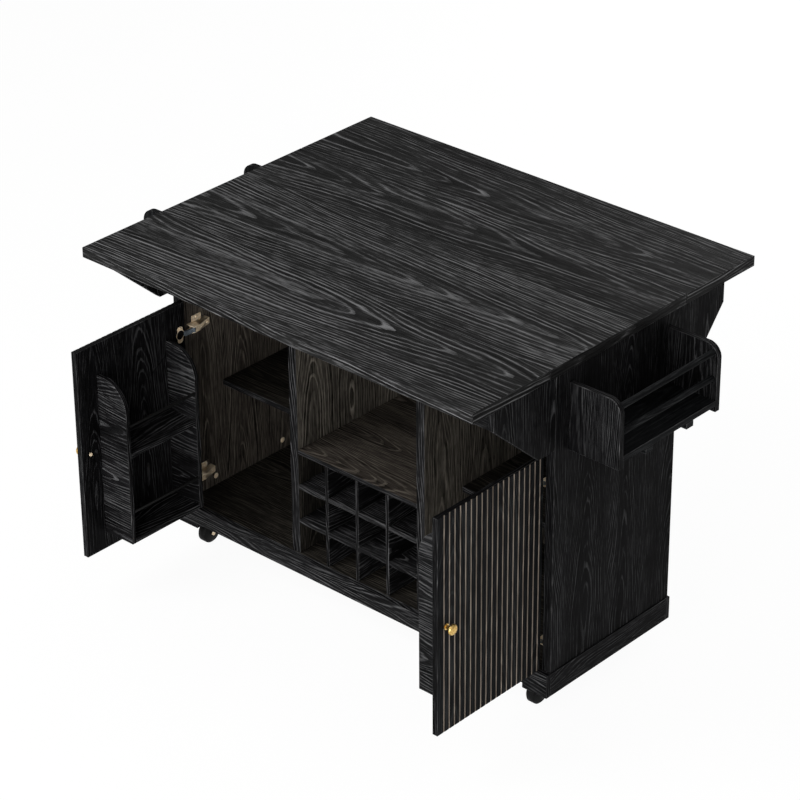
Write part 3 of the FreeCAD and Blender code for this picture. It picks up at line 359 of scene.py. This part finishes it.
def finish_piece(name, mesh, node_names, body, sharp=30):
    """Makes the object, smooths it up to the sharp angle in degrees, puts it under its body and hides the
    nodes that it replaces.
    """
    mesh.polygons.foreach_set("use_smooth", [True] * len(mesh.polygons))
    mesh.set_sharp_from_angle(angle=math.radians(sharp))
    piece = bpy.data.objects.new(name, mesh)
    bpy.context.scene.collection.objects.link(piece)
    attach(piece, body)
    if node_names:
        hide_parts(*node_names)
    return piece


ARRIS_WIDTH = 0.9 * MM
ARRIS_ANGLE = math.radians(35)     # edges sharper than this get an arris, if they are longer than the next
ARRIS_LENGTH = 3 * MM
BACK_FACE_SHIFT = (1.7, 7 * LEAF_WIDTH)     # how far on in the veneer a board's other face was cut
# the woods' places on every wooden piece; 0 is its main wood
ARRIS_AT, FLUTE_AT, INSIDE_AT, RIB_AT, SHELF_AT, WALL_AT = range(1, 7)


def veneer(node, along, across, wood=OUTSIDE, shift=None, face_wood=None, figure_scale=1.0, cut_height=None):
    """Dresses a wooden node: chamfered arrises, and each corner's place along and across the veneer."""
    luck = random.Random(node)
    shape = merged_copy(node)
    if cut_height:
        bmesh.ops.bisect_plane(shape, geom=shape.verts[:] + shape.edges[:] + shape.faces[:], dist=MERGE_REACH,
                               plane_co=(0, 0, cut_height), plane_no=(0, 0, 1))
    edges = [edge for edge in shape.edges
             if len(edge.link_faces) == 2 and edge.is_convex
             and edge.calc_face_angle() > ARRIS_ANGLE and edge.calc_length() > ARRIS_LENGTH]
    # the chamfers take the ARRIS oak: a paler painted highlight along the boards' edges
    bmesh.ops.bevel(shape, geom=edges, offset=ARRIS_WIDTH, segments=1, affect="EDGES", clamp_overlap=True,
                    material=ARRIS_AT)
    layer = shape.loops.layers.float_vector.new("grain_place")
    u, v = AXES.index(along), AXES.index(across)
    w = 3 - u - v              # the axis through the board
    for part in loose_parts(shape):
        start = shift or (luck.uniform(0, 6), luck.uniform(0, 3))
        low = [min(vert.co[i] for vert in part) for i in range(3)]
        size = [max(vert.co[i] for vert in part) - low[i] for i in range(3)]
        edge_leaf = LEAF_WIDTH * (luck.randrange(20, 90) + EDGE_PLACE)
        for face in {face for vert in part for face in vert.link_faces}:
            facing = max(range(3), key=lambda i: abs(face.normal[i]))
            if facing == w:
                a, b, at = u, v, (start[0], start[1])
                if face.normal[w] < 0:
                    at = (start[0] + BACK_FACE_SHIFT[0], start[1] + BACK_FACE_SHIFT[1])
            else:
                rest = [i for i in range(3) if i != facing]
                a, b = (u, w) if facing == v else sorted(rest, key=lambda i: -size[i])
                at = (start[0] + facing, edge_leaf)
            for loop in face.loops:
                place = Vector((loop.vert.co[a], loop.vert.co[b], 0)) / figure_scale
                if facing != w:
                    place.y = (loop.vert.co[b] - low[b] - size[b] / 2) / figure_scale
                loop[layer] = place + Vector((at[0], at[1], 0))
    if face_wood:
        face_wood(shape)
    mesh = bpy.data.meshes.new(f"{node}_veneered")
    shape.to_mesh(mesh)
    shape.free()
    for material in (wood, ARRIS, FLUTE, INSIDE, RIB, SHELF, WALL):
        mesh.materials.append(material)
    return finish_piece(f"{node}_veneered", mesh, [node], BODY_OF[node])


SHEET_EDGE = 2.2 * MM          # an edge shorter than this is a corner of pressed sheet
SHEET_RUN = 0.8 * MM           # and it runs at least this far along X, through the sheet
CORNER_ANGLE = math.radians(80)
CORNER_STEPS = 6


def fitting(node, material, second=None, is_second=None, sharp=32, round_corners=0, reshape=None):
    """Dresses a metal or nylon node: merged, smoothed, and in its own finish."""
    shape = merged_copy(node)
    if reshape:
        reshape(shape)
    if round_corners:
        corners = [edge for edge in shape.edges
                   if len(edge.link_faces) == 2 and edge.is_convex and edge.calc_face_angle() > CORNER_ANGLE
                   and edge.calc_length() < SHEET_EDGE
                   and abs(edge.verts[0].co.x - edge.verts[1].co.x) > SHEET_RUN]
        bmesh.ops.bevel(shape, geom=corners, offset=round_corners, segments=CORNER_STEPS, profile=0.5,
                        affect="EDGES", clamp_overlap=True)
    if is_second:
        for face in shape.faces:
            face.material_index = 1 if is_second(face) else 0
    mesh = bpy.data.meshes.new(f"{node}_finished")
    shape.to_mesh(mesh)
    shape.free()
    mesh.materials.append(material)
    if second:
        mesh.materials.append(second)
    return finish_piece(f"{node}_finished", mesh, [node], BODY_OF[node], sharp)


FLUTE_FLOOR = (1.3 * MM, 1.6 * MM)     # the depths between which a flute's floor lies
FLUTE_MARGIN = 2 * MM                  # no flute is nearer a door's upright edges


def flute_faces(side):
    """Marks the floors of the flutes in a door's outer face, and the ribs between them."""
    def mark(shape):
        outer = max(side * vert.co.x for vert in shape.verts)
        low, high = min(v.co.y for v in shape.verts), max(v.co.y for v in shape.verts)
        for face in shape.faces:
            depth = outer - side * face.calc_center_median().x
            inside = low + FLUTE_MARGIN < face.calc_center_median().y < high - FLUTE_MARGIN
            if FLUTE_FLOOR[0] < depth < FLUTE_FLOOR[1] and inside and abs(face.normal.z) < 0.5:
                face.material_index = FLUTE_AT
            elif depth < FLUTE_FLOOR[0] and inside:
                face.material_index = RIB_AT
    return mark


def inner_face(side):
    """Marks the face of a side panel that looks into the cabinet, which gets the lighter WALL oak as painted
    light.
    """
    def mark(shape):
        for face in shape.faces:
            if face.normal.x * side < -ALONG_AXIS:
                face.material_index = WALL_AT
    return mark


BOTTLE_RACK_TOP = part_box("wine_top_board")[0].z


def walls_inside(shape):
    """Marks a divider's faces, which get the lighter inside oak as painted light, less lightened where they
    wall in the bottle rack.
    """
    for face in shape.faces:
        if abs(face.normal.x) > ALONG_AXIS:
            faces_rack = face.normal.x * face.calc_center_median().x < 0
            in_rack = faces_rack and face.calc_center_median().z < BOTTLE_RACK_TOP
            face.material_index = SHELF_AT if in_rack else INSIDE_AT


def tops_inside(wood_at):
    """Marks the upper faces of a board inside the cabinet, which get a lighter inside oak as painted light."""
    def mark(shape):
        for face in shape.faces:
            if face.normal.z > ALONG_AXIS:
                face.material_index = wood_at
    return mark


def back_inside(shape):
    """Marks the face of the back panel that looks into the compartments, which gets the lighter SHELF oak as
    painted light.
    """
    for face in shape.faces:
        if face.normal.y < -ALONG_AXIS:
            face.material_index = SHELF_AT


def inside_of(word, side):
    """Says which of a knob's faces belong to its screw, whose head is on the door's inner face."""
    low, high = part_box(f"door_{word}")
    middle = side * (low.x + high.x) / 2
    return lambda face: side * face.calc_center_median().x < middle


for word, side in SIDES:
    veneer(f"side_{word}", "Z", "Y", QUIET, face_wood=inner_face(side))
    veneer(f"divider_{word}", "Z", "Y", OUTSIDE, face_wood=walls_inside, cut_height=BOTTLE_RACK_TOP)
veneer("back_panel", "Z", "X", OUTSIDE, face_wood=back_inside)
for node, wood_at in (("bottom_board", SHELF_AT), ("side_shelves", SHELF_AT), ("wine_top_board", WALL_AT)):
    veneer(node, "X", "Y", OUTSIDE, face_wood=tops_inside(wood_at))

for node, along, across, wood in (
        ("ceiling_board", "X", "Y", OUTSIDE), ("fascia", "X", "Z", OUTSIDE),
        ("plinth_front", "X", "Z", OUTSIDE), ("plinth_back", "X", "Z", OUTSIDE),
        ("plinth_sides", "Y", "Z", QUIET), ("wine_shelves", "X", "Y", OUTSIDE),
        ("wine_uprights", "Y", "Z", OUTSIDE), ("stemware_rails", "Y", "X", OUTSIDE),
        ("spice_rack_ends", "Z", "X", QUIET), ("spice_board", "Y", "X", RIB),
        ("spice_rails", "Y", "X", RIB), ("towel_rack_ends", "Z", "X", RIB),
        ("towel_bar", "Y", "X", RIB),
        ("wing_front_left", "Z", "Y", QUIET), ("wing_front_right", "Z", "Y", QUIET),
        ("wing_back_left", "Z", "Y", QUIET), ("wing_back_right", "Z", "Y", QUIET)):
    veneer(node, along, across, wood)

# where in the veneer the top's boards were cut, chosen for arches that lie as the photograph's do
TOP_FIGURE_SCALE = 1.1
TOP_STARTS = (("top_centre", (6.9, 1.24)), ("leaf_front", (0.62, 1.104)), ("leaf_back", (3.4, 2.13)))
for node, start in TOP_STARTS:
    veneer(node, "X", "Y", TOP, shift=start, figure_scale=TOP_FIGURE_SCALE)

# The hinges between doors and cabinet

ARM_TAPER = 9 * MM             # how much nearer the wall a hinge arm's rear end lies
ARM_REAR = 1 * MM              # vertices this near an arm's rear end belong to that end
ARM_ROUNDING = 6 * MM
CUP_ROUNDING = 7 * MM


def taper_arms(shape):
    """Slopes the hinge arms' outer faces towards the wall, as pressed arms are."""
    for part in loose_parts(shape):
        rear = max(vert.co.y for vert in part)
        for vert in part:
            if vert.co.y > rear - ARM_REAR and abs(vert.co.x) < SIDE_INNER_X - 2 * ARM_TAPER:
                vert.co.x += sign(vert.co.x) * ARM_TAPER


CUP_INSIDE_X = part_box("door_right")[0].x + 1 * MM    # a cup's inside starts this far from the middle


def cup_hollow_shade(side):
    """Says which of a hinge cup's faces lie inside it, where black is painted as the hollow's shade."""
    return lambda face: max(side * vert.co.x for vert in face.verts) > CUP_INSIDE_X


DOOR_START = {"left": (2.857, 1.147), "right": None}     # puts arches on the left door's inner face

for word, side in SIDES:
    veneer(f"door_{word}", "Z", "Y", QUIET, shift=DOOR_START[word], face_wood=flute_faces(side))
    veneer(f"door_{word}_rack_sides", "X", "Z", OUTSIDE)
    veneer(f"door_{word}_rack_shelves", "Y", "X", OUTSIDE)
    fitting(f"door_{word}_rack_bars", BLACK_STEEL)
    fitting(f"door_{word}_knob", BRASS, NICKEL, inside_of(word, side))
    # the cups' inner faces take the black powder coat: painted shade in their hollows
    fitting(f"door_{word}_cups", NICKEL, BLACK_STEEL, cup_hollow_shade(side), round_corners=CUP_ROUNDING)
    # the links take the darker zinc: painted shade where they show through the gap beside the door
    fitting(f"door_{word}_links", ZINC)

fitting("door_hinge_arms", NICKEL, round_corners=ARM_ROUNDING, reshape=taper_arms)
for node in ("leaf_hinges_fixed", "wing_hinges_fixed", "leaf_front_plates", "leaf_back_plates",
             "wing_front_left_plates", "wing_front_right_plates",
             "wing_back_left_plates", "wing_back_right_plates"):
    fitting(node, NICKEL)
fitting("caster_plates", BLACK_STEEL)


HUB_RADIUS = 17 * MM           # a face that lies within this of the axle belongs to a wheel's hub
AXLE_CAP_RADIUS = 6 * MM       # and within this, on a fork, to the axle's caps


def near_axle(place, reach):
    """Says which faces lie within reach of a caster's axle: a wheel's hub or a fork's axle caps."""
    low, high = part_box(f"caster_wheel_{place}")
    axle = (low + high) / 2

    def test(face):
        return max(math.hypot(vert.co.y - axle.y, vert.co.z - axle.z) for vert in face.verts) < reach
    return test


for place in ("front_left", "front_right", "back_left", "back_right"):
    fitting(f"caster_fork_{place}", BLACK_STEEL, NICKEL, near_axle(place, AXLE_CAP_RADIUS))
    fitting(f"caster_wheel_{place}", NYLON, HUB, near_axle(place, HUB_RADIUS))


# Small hardware, grown on points by Geometry Nodes

def named_input(tree, name, kind, value=None):
    """An input of a tree, by name."""
    socket = tree.interface.new_socket(name, in_out="INPUT", socket_type=kind)
    if value is not None:
        socket.default_value = value
    return socket


HEAD_SIDES = 20
CROWN_SHARE = 0.78             # a head's top radius as a share of its radius
RECESS_REACH = 1.15            # a recess's length as a share of a head's radius


def head_tree():
    """Heads on points: a flat cone facing each point's way, with a crossed recess where it is a screw."""
    tree = bpy.data.node_groups.new("Screw heads and caps", "GeometryNodeTree")
    named_input(tree, "Geometry", "NodeSocketGeometry")
    for name in ("Head Radius", "Head Height", "Recess Width", "Recess Depth"):
        named_input(tree, name, "NodeSocketFloat")
    named_input(tree, "Has Recess", "NodeSocketBool")
    named_input(tree, "Seed", "NodeSocketInt", 7)
    named_input(tree, "Finish", "NodeSocketMaterial")
    tree.interface.new_socket("Geometry", in_out="OUTPUT", socket_type="NodeSocketGeometry")
    given = add(tree, "NodeGroupInput").node.outputs
    crown = add(tree, "ShaderNodeMath", {0: given["Head Radius"], 1: CROWN_SHARE}, operation="MULTIPLY")
    head = add(tree, "GeometryNodeMeshCone", {
        "Vertices": HEAD_SIDES, "Radius Top": crown, "Radius Bottom": given["Head Radius"],
        "Depth": given["Head Height"]})
    arm_length = add(tree, "ShaderNodeMath", {0: given["Head Radius"], 1: RECESS_REACH}, operation="MULTIPLY")
    deep = add(tree, "ShaderNodeMath", {0: given["Recess Depth"], 1: 2}, operation="MULTIPLY")
    arms = []
    for long_axis in (0, 1):
        size = add(tree, "ShaderNodeCombineXYZ", {
            long_axis: arm_length, 1 - long_axis: given["Recess Width"], 2: deep})
        block = add(tree, "GeometryNodeMeshCube", {"Size": size})
        lift = add(tree, "ShaderNodeCombineXYZ", {2: given["Head Height"]})
        arms.append(add(tree, "GeometryNodeTransform", {"Geometry": block, "Translation": lift}))
    cut = tree.nodes.new("GeometryNodeMeshBoolean")
    cut.operation = "DIFFERENCE"
    tree.links.new(head, cut.inputs["Mesh 1"])
    for arm in arms:
        tree.links.new(arm, cut.inputs["Mesh 2"])
    chosen = add(tree, "GeometryNodeSwitch", {
        "Switch": given["Has Recess"], "False": head, "True": cut.outputs[0]}, input_type="GEOMETRY")
    facing = add(tree, "GeometryNodeInputNamedAttribute", {"Name": "facing"}, data_type="FLOAT_VECTOR")
    aligned = add(tree, "FunctionNodeAlignRotationToVector", {"Vector": facing}, axis="Z")
    angle = add(tree, "FunctionNodeRandomValue", {"Seed": given["Seed"]}, data_type="FLOAT")
    spin = add(tree, "ShaderNodeMath", {0: angle.node.outputs[1], 1: math.pi}, operation="MULTIPLY")
    about = add(tree, "FunctionNodeAxisAngleToRotation", {"Axis": (0, 0, 1), "Angle": spin})
    turned = add(tree, "FunctionNodeRotateRotation", {"Rotation": aligned, "Rotate By": about},
                 rotation_space="LOCAL")
    placed = add(tree, "GeometryNodeInstanceOnPoints", {
        "Points": given["Geometry"], "Instance": chosen, "Rotation": turned})
    real = add(tree, "GeometryNodeRealizeInstances", {"Geometry": placed})
    finished = add(tree, "GeometryNodeSetMaterial", {"Geometry": real, "Material": given["Finish"]})
    add(tree, "NodeGroupOutput", {"Geometry": finished})
    return tree


HEAD_TREE = head_tree()


def grow(name, points, body, slot, **settings):
    """Grows heads on (place, facing) points of one body and turns them into a plain mesh."""
    mesh = bpy.data.meshes.new(f"{name}_points")
    mesh.from_pydata([place for place, facing in points], [], [])
    layer = mesh.attributes.new("facing", "FLOAT_VECTOR", "POINT")
    for item, (place, facing) in zip(layer.data, points):
        item.vector = facing
    seedling = bpy.data.objects.new(f"{name}_points", mesh)
    bpy.context.scene.collection.objects.link(seedling)
    modifier = seedling.modifiers.new("Heads", "NODES")
    modifier.node_group = HEAD_TREE
    sockets = {item.name: item.identifier for item in HEAD_TREE.interface.items_tree
               if item.in_out == "INPUT"}
    for key, value in settings.items():
        modifier[sockets[key.replace("_", " ").title()]] = value
    bpy.context.view_layer.update()
    grown = bpy.data.meshes.new_from_object(seedling.evaluated_get(bpy.context.evaluated_depsgraph_get()))
    bpy.data.objects.remove(seedling)
    return finish_piece(name, grown, [], body)


def solid_boxes(node):
    """(low, high) corners of each separate solid in a node, in a steady order."""
    shape = merged_copy(node)
    boxes = []
    for part in loose_parts(shape):
        corners = [[pick(vert.co[i] for vert in part) for i in range(3)] for pick in (min, max)]
        boxes.append((Vector(corners[0]), Vector(corners[1])))
    shape.free()
    return boxes


BUTT_PLATE = 1.2 * MM          # the thickness of a butt hinge's plates
BUTT_SCREW_INSET = 6.5 * MM    # from a plate's free edge to its screws
BUTT_SCREW_SPREAD = 11.5 * MM  # from a plate's middle to each screw


def butt_screws(node, facing, run):
    """Two screw places on each butt hinge plate: run points from the pin along the plate."""
    points = []
    for low, high in solid_boxes(node):
        middle = (low + high) / 2
        way, along = Vector(facing(middle)), Vector(run(middle))
        half_size = (high - low) / 2
        reach = sum(abs(along[i]) * half_size[i] for i in range(3))
        back = sum(abs(way[i]) * half_size[i] for i in range(3))
        spread = way.cross(along) * BUTT_SCREW_SPREAD
        centre = middle + along * (reach - BUTT_SCREW_INSET) - way * (back - BUTT_PLATE)
        points += [(centre + spread, way), (centre - spread, way)]
    return points


BUTT_HEAD = {"head_radius": 3 * MM, "head_height": 0.9 * MM, "recess_width": 0.7 * MM,
             "recess_depth": 0.6 * MM, "has_recess": True, "finish": NICKEL}


def down(middle):
    """The way that a plate under the top faces."""
    return 0, 0, -1


def outward(middle):
    """Away from the cart's middle, towards its front or back."""
    return 0, sign(middle.y - CART_MIDDLE_Y), 0


def inward(middle):
    """Towards the cart's middle, from its front or back."""
    return 0, -sign(middle.y - CART_MIDDLE_Y), 0


def sideways_in(middle):
    """Towards the cart's middle, from its left or right."""
    return -sign(middle.x), 0, 0


cabinet_screws = butt_screws("leaf_hinges_fixed", down, inward)
cabinet_screws += butt_screws("wing_hinges_fixed", outward, sideways_in)
grow("cabinet_butt_screws", cabinet_screws, "cabinet", "hinge_nickel", **BUTT_HEAD)
for word in ("front", "back"):
    points = butt_screws(f"leaf_{word}_plates", down, outward)
    grow(f"leaf_{word}_butt_screws", points, f"leaf_{word}", "hinge_nickel", **BUTT_HEAD)
    for side_word in ("left", "right"):
        wing = f"wing_{word}_{side_word}"
        points = butt_screws(f"{wing}_plates", sideways_in, outward)
        grow(f"{wing}_butt_screws", points, wing, "hinge_nickel", **BUTT_HEAD)

ARM_PLATE = 2 * MM             # the thickness of the plate that holds an arm to the side panel
ARM_PLATE_MIDDLE_Y = -128.7 * MM
ARM_SCREW_SPREAD = 18 * MM     # from the plate's middle up and down to its screws
ARM_LENGTH = 54 * MM
ARM_STAND = 23.8 * MM          # how far an arm's outer face stands off the side panel at its front
ARM_SCREW_SHARES = (0.42, 0.82)     # where the adjusting screws sit along that face
CUP_SCREW_SPREAD = 17.8 * MM   # from a cup's middle up and down to its screws
HINGE_HEAD = {"head_radius": 3.6 * MM, "head_height": 1.4 * MM, "recess_width": 1 * MM,
              "recess_depth": 1 * MM, "has_recess": True, "finish": NICKEL}
arm_points = []
for low, high in solid_boxes("door_hinge_arms"):
    side = sign(low.x)
    for offset in (-ARM_SCREW_SPREAD, ARM_SCREW_SPREAD):
        place = Vector((side * (SIDE_INNER_X - ARM_PLATE), ARM_PLATE_MIDDLE_Y,
                        (low.z + high.z) / 2 + offset))
        arm_points.append((place, Vector((-side, 0, 0))))
    slope = math.atan2(ARM_TAPER, ARM_LENGTH)
    for share in ARM_SCREW_SHARES:
        depth = ARM_STAND - ARM_TAPER * share
        place = Vector((side * (SIDE_INNER_X - depth), high.y - ARM_LENGTH * (1 - share),
                        (low.z + high.z) / 2))
        arm_points.append((place, Vector((-side * math.cos(slope), math.sin(slope), 0))))
grow("hinge_arm_screws", arm_points, "cabinet", "hinge_nickel", **HINGE_HEAD)
for word, side in SIDES:
    cup_points = []
    for low, high in solid_boxes(f"door_{word}_cups"):
        for offset in (-CUP_SCREW_SPREAD, CUP_SCREW_SPREAD):
            place = Vector((high.x if side < 0 else low.x, (low.y + high.y) / 2,
                            (low.z + high.z) / 2 + offset))
            cup_points.append((place, Vector((-side, 0, 0))))
    grow(f"door_{word}_cup_screws", cup_points, f"door_{word}", "hinge_nickel", **HINGE_HEAD)

PLATE_SCREW_SPREAD = 17 * MM   # from a caster plate's middle to its screws, both ways
PLATE_THICKNESS = 3 * MM
plate_points = []
for low, high in solid_boxes("caster_plates"):
    for dx in (-PLATE_SCREW_SPREAD, PLATE_SCREW_SPREAD):
        for dy in (-PLATE_SCREW_SPREAD, PLATE_SCREW_SPREAD):
            place = Vector(((low.x + high.x) / 2 + dx, (low.y + high.y) / 2 + dy,
                            high.z - PLATE_THICKNESS))
            plate_points.append((place, Vector((0, 0, -1))))
CASTER_HEAD = {"head_radius": 3.6 * MM, "head_height": 1.2 * MM, "recess_width": 1 * MM,
               "recess_depth": 0.9 * MM, "has_recess": True, "finish": BLACK_STEEL}
grow("caster_plate_screws", plate_points, "cabinet", "black_steel", **CASTER_HEAD)

CAM_DISC = {"head_radius": 7.5 * MM, "head_height": 0.8 * MM, "recess_width": 1.4 * MM,
            "recess_depth": 0.5 * MM, "has_recess": True, "finish": NICKEL}
CAM_HEIGHT = 145 * MM
CAM_PLACES_Y = (-81 * MM, 160 * MM)
cam_points = [(Vector((side * SIDE_INNER_X, y, CAM_HEIGHT)), Vector((-side, 0, 0)))
              for word, side in SIDES for y in CAM_PLACES_Y]
grow("cam_discs", cam_points, "cabinet", "hinge_nickel", **CAM_DISC)

PIN_RADIUS = 3 * MM
PIN_LENGTH = 8 * MM
PIN_INSET_Y = 45 * MM          # from a shelf's front and back edges to its pins
pin_points = []
for low, high in solid_boxes("side_shelves"):
    for y in (low.y + PIN_INSET_Y, high.y - PIN_INSET_Y):
        for x, way in ((low.x, 1), (high.x, -1)):
            pin_points.append((Vector((x, y, low.z - PIN_RADIUS)), Vector((way, 0, 0))))
grow("shelf_pins", pin_points, "cabinet", "hinge_nickel", head_radius=PIN_RADIUS, head_height=PIN_LENGTH,
     has_recess=False, finish=NICKEL)

# Stage: a pale floor that the camera sees near white, with the cart's shadow kept

FLOOR_SIDE = 40                # metres
FLOOR_LIFT = 0.95              # share of plain white that camera, gloss and glass see in the floor
FLOOR_MOTTLE = 333.333 * MM


def floor_material():
    """Painted studio floor: matte, near white, with a faint mottle."""
    material, tree, output = new_material("Pale studio floor")
    rays = add(tree, "ShaderNodeLightPath").node.outputs
    seen = add(tree, "ShaderNodeMath", {0: rays["Is Camera Ray"], 1: rays["Is Glossy Ray"]},
               operation="MAXIMUM")
    seen = add(tree, "ShaderNodeMath", {0: seen, 1: rays["Is Transmission Ray"]}, operation="MAXIMUM")
    share = add(tree, "ShaderNodeMath", {0: seen, 1: FLOOR_LIFT}, operation="MULTIPLY")
    place = add(tree, "ShaderNodeTexCoord").node.outputs["Object"]
    mottle = add(tree, "ShaderNodeTexNoise", {"Vector": place, "Scale": 1 / FLOOR_MOTTLE, "Detail": 2})
    colour = add(tree, "ShaderNodeValToRGB", {0: mottle}, stops=[(0.3, "#f4f4f3"), (0.7, "#fafaf9")])
    paint = add(tree, "ShaderNodeBsdfDiffuse", {"Color": colour})
    white = add(tree, "ShaderNodeEmission", {"Color": "#ffffff", "Strength": 1})
    mixed = add(tree, "ShaderNodeMixShader", {0: share, 1: paint, 2: white})
    tree.links.new(mixed, output.inputs["Surface"])
    return material


floor_mesh = bpy.data.meshes.new("studio_floor")
half = FLOOR_SIDE / 2
floor_corners = [(-half, -half, 0), (half, -half, 0), (half, half, 0), (-half, half, 0)]
floor_mesh.from_pydata(floor_corners, [], [(0, 1, 2, 3)])
floor_mesh.materials.append(floor_material())
floor = bpy.data.objects.new("studio_floor", floor_mesh)
bpy.context.scene.collection.objects.link(floor)

world = bpy.data.worlds.new("Studio")
bpy.context.scene.world = world
world.use_nodes = True
world.node_tree.nodes.clear()
sky_rays = add(world.node_tree, "ShaderNodeLightPath").node.outputs
sky_seen = add(world.node_tree, "ShaderNodeMapRange", {0: sky_rays["Is Camera Ray"], 3: 0.45, 4: 1})
add(world.node_tree, "ShaderNodeOutputWorld", {
    0: add(world.node_tree, "ShaderNodeBackground", {"Color": "#ffffff", "Strength": sky_seen})})


def lamp(name, place, aim, size, power):
    """A round soft lamp of a size in metres and a power in watts, aimed at a point."""
    data = bpy.data.lights.new(name, "AREA")
    data.shape = "DISK"
    data.size = size
    data.energy = power
    made = bpy.data.objects.new(name, data)
    made.location = place
    made.rotation_euler = (Vector(aim) - Vector(place)).to_track_quat("-Z", "Y").to_euler()
    bpy.context.scene.collection.objects.link(made)


lamp("Key", (-1.6, -2.6, 3.4), (0, 0, 0.6), 2.4, 100)
lamp("Front", (1.3, -4.3, 1.1), (0, 0, 0.45), 3.0, 140)
lamp("Fill", (3.2, -1.6, 2.2), (0, 0, 0.5), 2.6, 12)
lamp("Rim", (0.6, 3.0, 3.0), (0, 0, 0.8), 2.2, 30)
lamp("Back", (-0.8, 4.4, 1.0), (0, 0, 0.45), 3.0, 90)

# Camera, solved from the photograph

CAMERA_AZIMUTH = math.radians(42.199)
CAMERA_ELEVATION = math.radians(29.072)
CAMERA_ROLL = math.radians(-0.396)
CAMERA_DISTANCE = 7418.372 * MM
CAMERA_LENS = 140.782          # millimetres, on Blender's 36 mm sensor
AIM_RIGHT = -15.087 * MM
AIM_UP = 34.355 * MM
AIM_BASE = Vector((0, 0, 500 * MM))

view_line = Vector((-math.sin(CAMERA_AZIMUTH) * math.cos(CAMERA_ELEVATION),
                    math.cos(CAMERA_AZIMUTH) * math.cos(CAMERA_ELEVATION), -math.sin(CAMERA_ELEVATION)))
right = Vector((math.cos(CAMERA_AZIMUTH), math.sin(CAMERA_AZIMUTH), 0))
up = right.cross(view_line)
aim = AIM_BASE + right * AIM_RIGHT + up * AIM_UP
rolled_right = right * math.cos(CAMERA_ROLL) + up * math.sin(CAMERA_ROLL)
rolled_up = up * math.cos(CAMERA_ROLL) - right * math.sin(CAMERA_ROLL)
camera_data = bpy.data.cameras.new("Photograph")
camera_data.lens = CAMERA_LENS
camera_data.clip_end = 100
camera = bpy.data.objects.new("Photograph", camera_data)
turn = Matrix((rolled_right, rolled_up, -view_line)).transposed().to_4x4()
camera.matrix_world = Matrix.Translation(aim - view_line * CAMERA_DISTANCE) @ turn
bpy.context.scene.collection.objects.link(camera)
bpy.context.scene.camera = camera
bpy.context.scene.view_settings.view_transform = "Standard"
